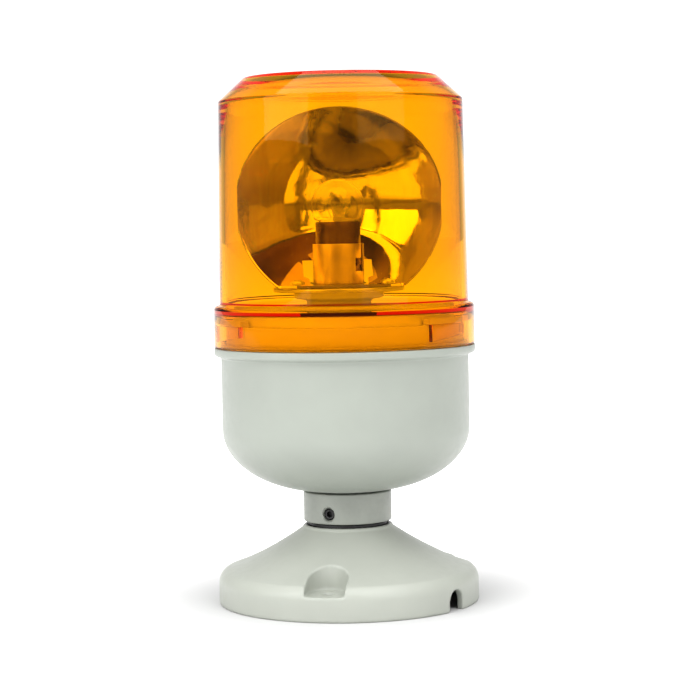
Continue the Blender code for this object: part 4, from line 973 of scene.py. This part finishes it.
def make_socket():
    """The lamp holder, a tube with two J-slots."""
    low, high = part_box("lamp_socket")
    outer, bore, throat = 8.55 * MM, 7.95 * MM, 4.8 * MM
    profile = [(throat, low.z), (outer, low.z), (outer, high.z)]
    profile += [(bore, high.z), (bore, low.z + MM), (throat, low.z + MM)]
    profile = rounded(profile, 0.22 * MM, 3)
    socket = shape("lamp_holder", lambda m: spin_into(m, profile, TUBE_STEPS), ON_LAMP_AXIS)
    cuts = []
    for side in (0, 180):
        way_in = sector_outline(6 * MM, 10 * MM, PIN_AZIMUTH + side + 20, 19)
        foot = sector_outline(6 * MM, 10 * MM, PIN_AZIMUTH + side + 9, 38)
        cuts.append((lambda m, o=way_in: prism_into(m, o, 110.5 * MM, 121 * MM), ON_LAMP_AXIS))
        cuts.append((lambda m, o=foot: prism_into(m, o, 110.6 * MM, 115.1 * MM), ON_LAMP_AXIS))
    combine(socket, "DIFFERENCE", cuts)
    dress(socket, "head", "brass", "lamp_socket")


def coil_into(mesh, mean_r, wire_r, low, high, turns):
    """A round wire wound into a coil between two heights."""
    around, sides = 32, 10
    rise = (high - low - 2 * wire_r) / (turns * around)
    rings = []
    for k in range(turns * around + 1):
        angle = 2 * math.pi * k / around
        outward = Vector((math.cos(angle), math.sin(angle), 0))
        centre = outward * mean_r + Vector((0, 0, low + wire_r + rise * k))
        ring = []
        for j in range(sides):
            turn = 2 * math.pi * j / sides
            offset = outward * math.cos(turn) + Vector((0, 0, math.sin(turn)))
            ring.append(mesh.verts.new(centre + offset * wire_r))
        rings.append(ring)
    for first, second in zip(rings, rings[1:]):
        for j in range(sides):
            mesh.faces.new((first[j - 1], first[j], second[j], second[j - 1]))
    mesh.faces.new(rings[0])
    mesh.faces.new(rings[-1][::-1])


def make_contact_spring():
    """The spring under the lamp's contact, which shortens as the lamp is pushed in; here it is a fixed coil.
    """
    low, high = bottom("contact_spring"), top("contact_spring")
    spring = shape("contact_coil", lambda m: coil_into(m, 3.1 * MM, 0.34 * MM, low, high, 5), ON_LAMP_AXIS)
    dress(spring, "head", "steel", "contact_spring")
    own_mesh(spring)


def make_lamp_cap():
    """The bayonet cap with its two pins."""
    low, high = bottom("bulb_cap"), top("bulb_cap")
    outer, inner = 7.5 * MM, 6.8 * MM
    cap = [(0, low), (outer - 0.9 * MM, low), (outer - 0.15 * MM, low + 0.5 * MM), (outer, low + 1.2 * MM)]
    cap += [(outer, high - 1.5 * MM), (outer + 0.02 * MM, high - 0.35 * MM)]
    cap += [(outer - 0.1 * MM, high - 0.05 * MM), (inner + 0.15 * MM, high), (inner, high - 0.2 * MM)]
    cap += [(inner, low + 1.3 * MM), (0, low + 1.3 * MM)]
    shell = shape("lamp_cap", lambda m: spin_into(m, cap, TUBE_STEPS), ON_LAMP_AXIS)
    pin = [(0, 7 * MM), (1.2 * MM, 7 * MM), (1.2 * MM, 8.8 * MM), (0.9 * MM, 9.15 * MM), (0, 9.2 * MM)]
    places = [ON_LAMP_AXIS @ lying_at(PIN_AZIMUTH + side, PIN_Z) for side in (0, 180)]
    combine(shell, "UNION", [(lambda m: spin_into(m, pin, 32), place) for place in places])
    dress(shell, "lamp", "bulb_brass", "bulb_cap")


def make_lamp_globe():
    """The glass, a sphere on a short neck that is cemented into the cap."""
    radius, skin = half_width("bulb_glass"), 0.6 * MM
    centre_z = top("bulb_glass") - radius
    neck_low = bottom("bulb_glass")
    start = -math.degrees(math.acos(8.0 / 9.2))
    outside = [(6.3 * MM, neck_low), (6.3 * MM, 127.25 * MM)]
    outside += [(6.5 * MM, 127.75 * MM), (7.2 * MM, 127.95 * MM)]
    outside += arc((0, centre_z), radius, radius, start, 90, 28)[:-1] + [(0, centre_z + radius)]
    inner_r = radius - skin
    inside = [(0, centre_z + inner_r)] + arc((0, centre_z), inner_r, inner_r, 90, start - 5, 28)[1:]
    inside += [(6.0 * MM, 128.2 * MM), (5.7 * MM, 127.4 * MM), (5.7 * MM, neck_low)]
    profile = outside + inside
    glass = shape("lamp_globe", lambda m: spin_into(m, profile, TUBE_STEPS), ON_LAMP_AXIS, smooth_angle=60)
    dress(glass, "lamp", "clear_glass", "bulb_glass")
    paint_faces(glass, "cement", lambda centre: centre.z < CEMENT_TOP)


# ---------------------------- studio

def make_floor():
    """A white sweep that glows everywhere but under the light, and is dark on the camera's side."""
    corners = [(x * FLOOR_HALF, y * FLOOR_HALF) for x, y in ((-1, -1), (1, -1), (1, 1), (-1, 1))]
    floor = shape("floor", lambda m: m.faces.new([m.verts.new((x, y, 0)) for x, y in corners]))
    material, tree, shader = new_material("white_sweep")
    set_inputs(shader, Roughness=0.9, Specular_IOR_Level=0.1, Emission_Color=(1, 1, 1, 1))
    where = tree.nodes.new("ShaderNodeTexCoord")
    reach = tree.nodes.new("ShaderNodeVectorMath")
    reach.operation = "LENGTH"
    tree.links.new(where.outputs["Object"], reach.inputs[0])
    glow = spread(tree, reach.outputs["Value"], 0.0, 1.0, *FLOOR_GLOW_RANGE)
    split = tree.nodes.new("ShaderNodeSeparateXYZ")
    tree.links.new(where.outputs["Object"], split.inputs["Vector"])
    near_side = spread(tree, split.outputs["Y"], 0.2, 1.0, *FLOOR_NEAR_RANGE)
    tree.links.new(calculate(tree, "MULTIPLY", glow, near_side), shader.inputs["Emission Strength"])
    tree.links.new(calculate(tree, "MULTIPLY", near_side, 0.6), shader.inputs["Base Color"])
    floor.data.materials.append(material)


def make_softbox(name, azimuth, elevation, width, height, power):
    """A rectangular light that faces the amber lens."""
    light = bpy.data.lights.new(name, "AREA")
    light.shape = "RECTANGLE"
    light.size, light.size_y = width, height
    light.energy = power
    item = add_object(name, light)
    a, e = math.radians(azimuth), math.radians(elevation)
    away = Vector((math.sin(a) * math.cos(e), -math.cos(a) * math.cos(e), math.sin(e)))
    item.location = Vector((0, 0, LIGHT_AIM_Z)) + LIGHT_DISTANCE * away
    item.rotation_euler = (-away).to_track_quat("-Z", "Y").to_euler()


def make_surroundings():
    """A bright backdrop low down and behind, with a dim room above, beside and in front of it."""
    world = bpy.data.worlds.new("studio")
    bpy.context.scene.world = world
    world.use_nodes = True
    tree = world.node_tree
    sky = tree.nodes["Background"]
    where = tree.nodes.new("ShaderNodeTexCoord")
    split = tree.nodes.new("ShaderNodeSeparateXYZ")
    tree.links.new(where.outputs["Generated"], split.inputs["Vector"])
    behind = calculate(tree, "MAXIMUM", split.outputs["Y"], 0.0)
    drop = calculate(tree, "MULTIPLY", behind, 0.8)
    raised = calculate(tree, "SUBTRACT", split.outputs["Z"], drop)
    height = spread(tree, raised, BACKDROP_STRENGTH, ROOM_STRENGTH, from_low=0.12, from_high=0.42)
    back = spread(tree, split.outputs["Y"], 0.3, 1.0, from_low=0.85, from_high=0.975)
    front = spread(tree, split.outputs["Y"], 0.5, 0.3, from_low=-0.95, from_high=-0.75)
    side = calculate(tree, "MAXIMUM", back, front)
    strength = calculate(tree, "MAXIMUM", calculate(tree, "MULTIPLY", height, side), DARKEST_ROOM)
    tree.links.new(strength, sky.inputs["Strength"])
    sky.inputs["Color"].default_value = (1, 1, 1, 1)


def make_camera():
    data = bpy.data.cameras.new("camera")
    data.lens = LENS_LENGTH
    data.sensor_width = SENSOR_WIDTH
    data.clip_start, data.clip_end = 0.01, 50
    camera = add_object("camera", data)
    stand = Matrix.Translation((CAMERA_SIDE, -CAMERA_DISTANCE, CAMERA_HEIGHT))
    tilt = Matrix.Rotation(math.radians(90 - CAMERA_PITCH), 4, "X")
    roll = Matrix.Rotation(math.radians(CAMERA_ROLL), 4, "Z")
    camera.matrix_world = stand @ tilt @ roll
    bpy.context.scene.camera = camera


def make_studio():
    """Floor, room, lights and camera, with enough light bounces for the clear pieces."""
    make_floor()
    make_surroundings()
    for name, settings in SOFTBOXES.items():
        make_softbox(name, *settings)
    make_camera()
    scene = bpy.context.scene
    scene.view_settings.view_transform = "Standard"
    scene.cycles.max_bounces = 32
    scene.cycles.glossy_bounces = 24
    scene.cycles.diffuse_bounces = 8
    scene.cycles.transmission_bounces = 24


paint_frame_nodes()
make_base()
make_stem()
make_collar()
make_body()
make_lens()
make_mirror()
make_turntable()
make_rotor_gear()
make_chassis()
make_gear_cover()
make_socket()
make_contact_spring()
make_lamp_cap()
make_lamp_globe()
make_studio()
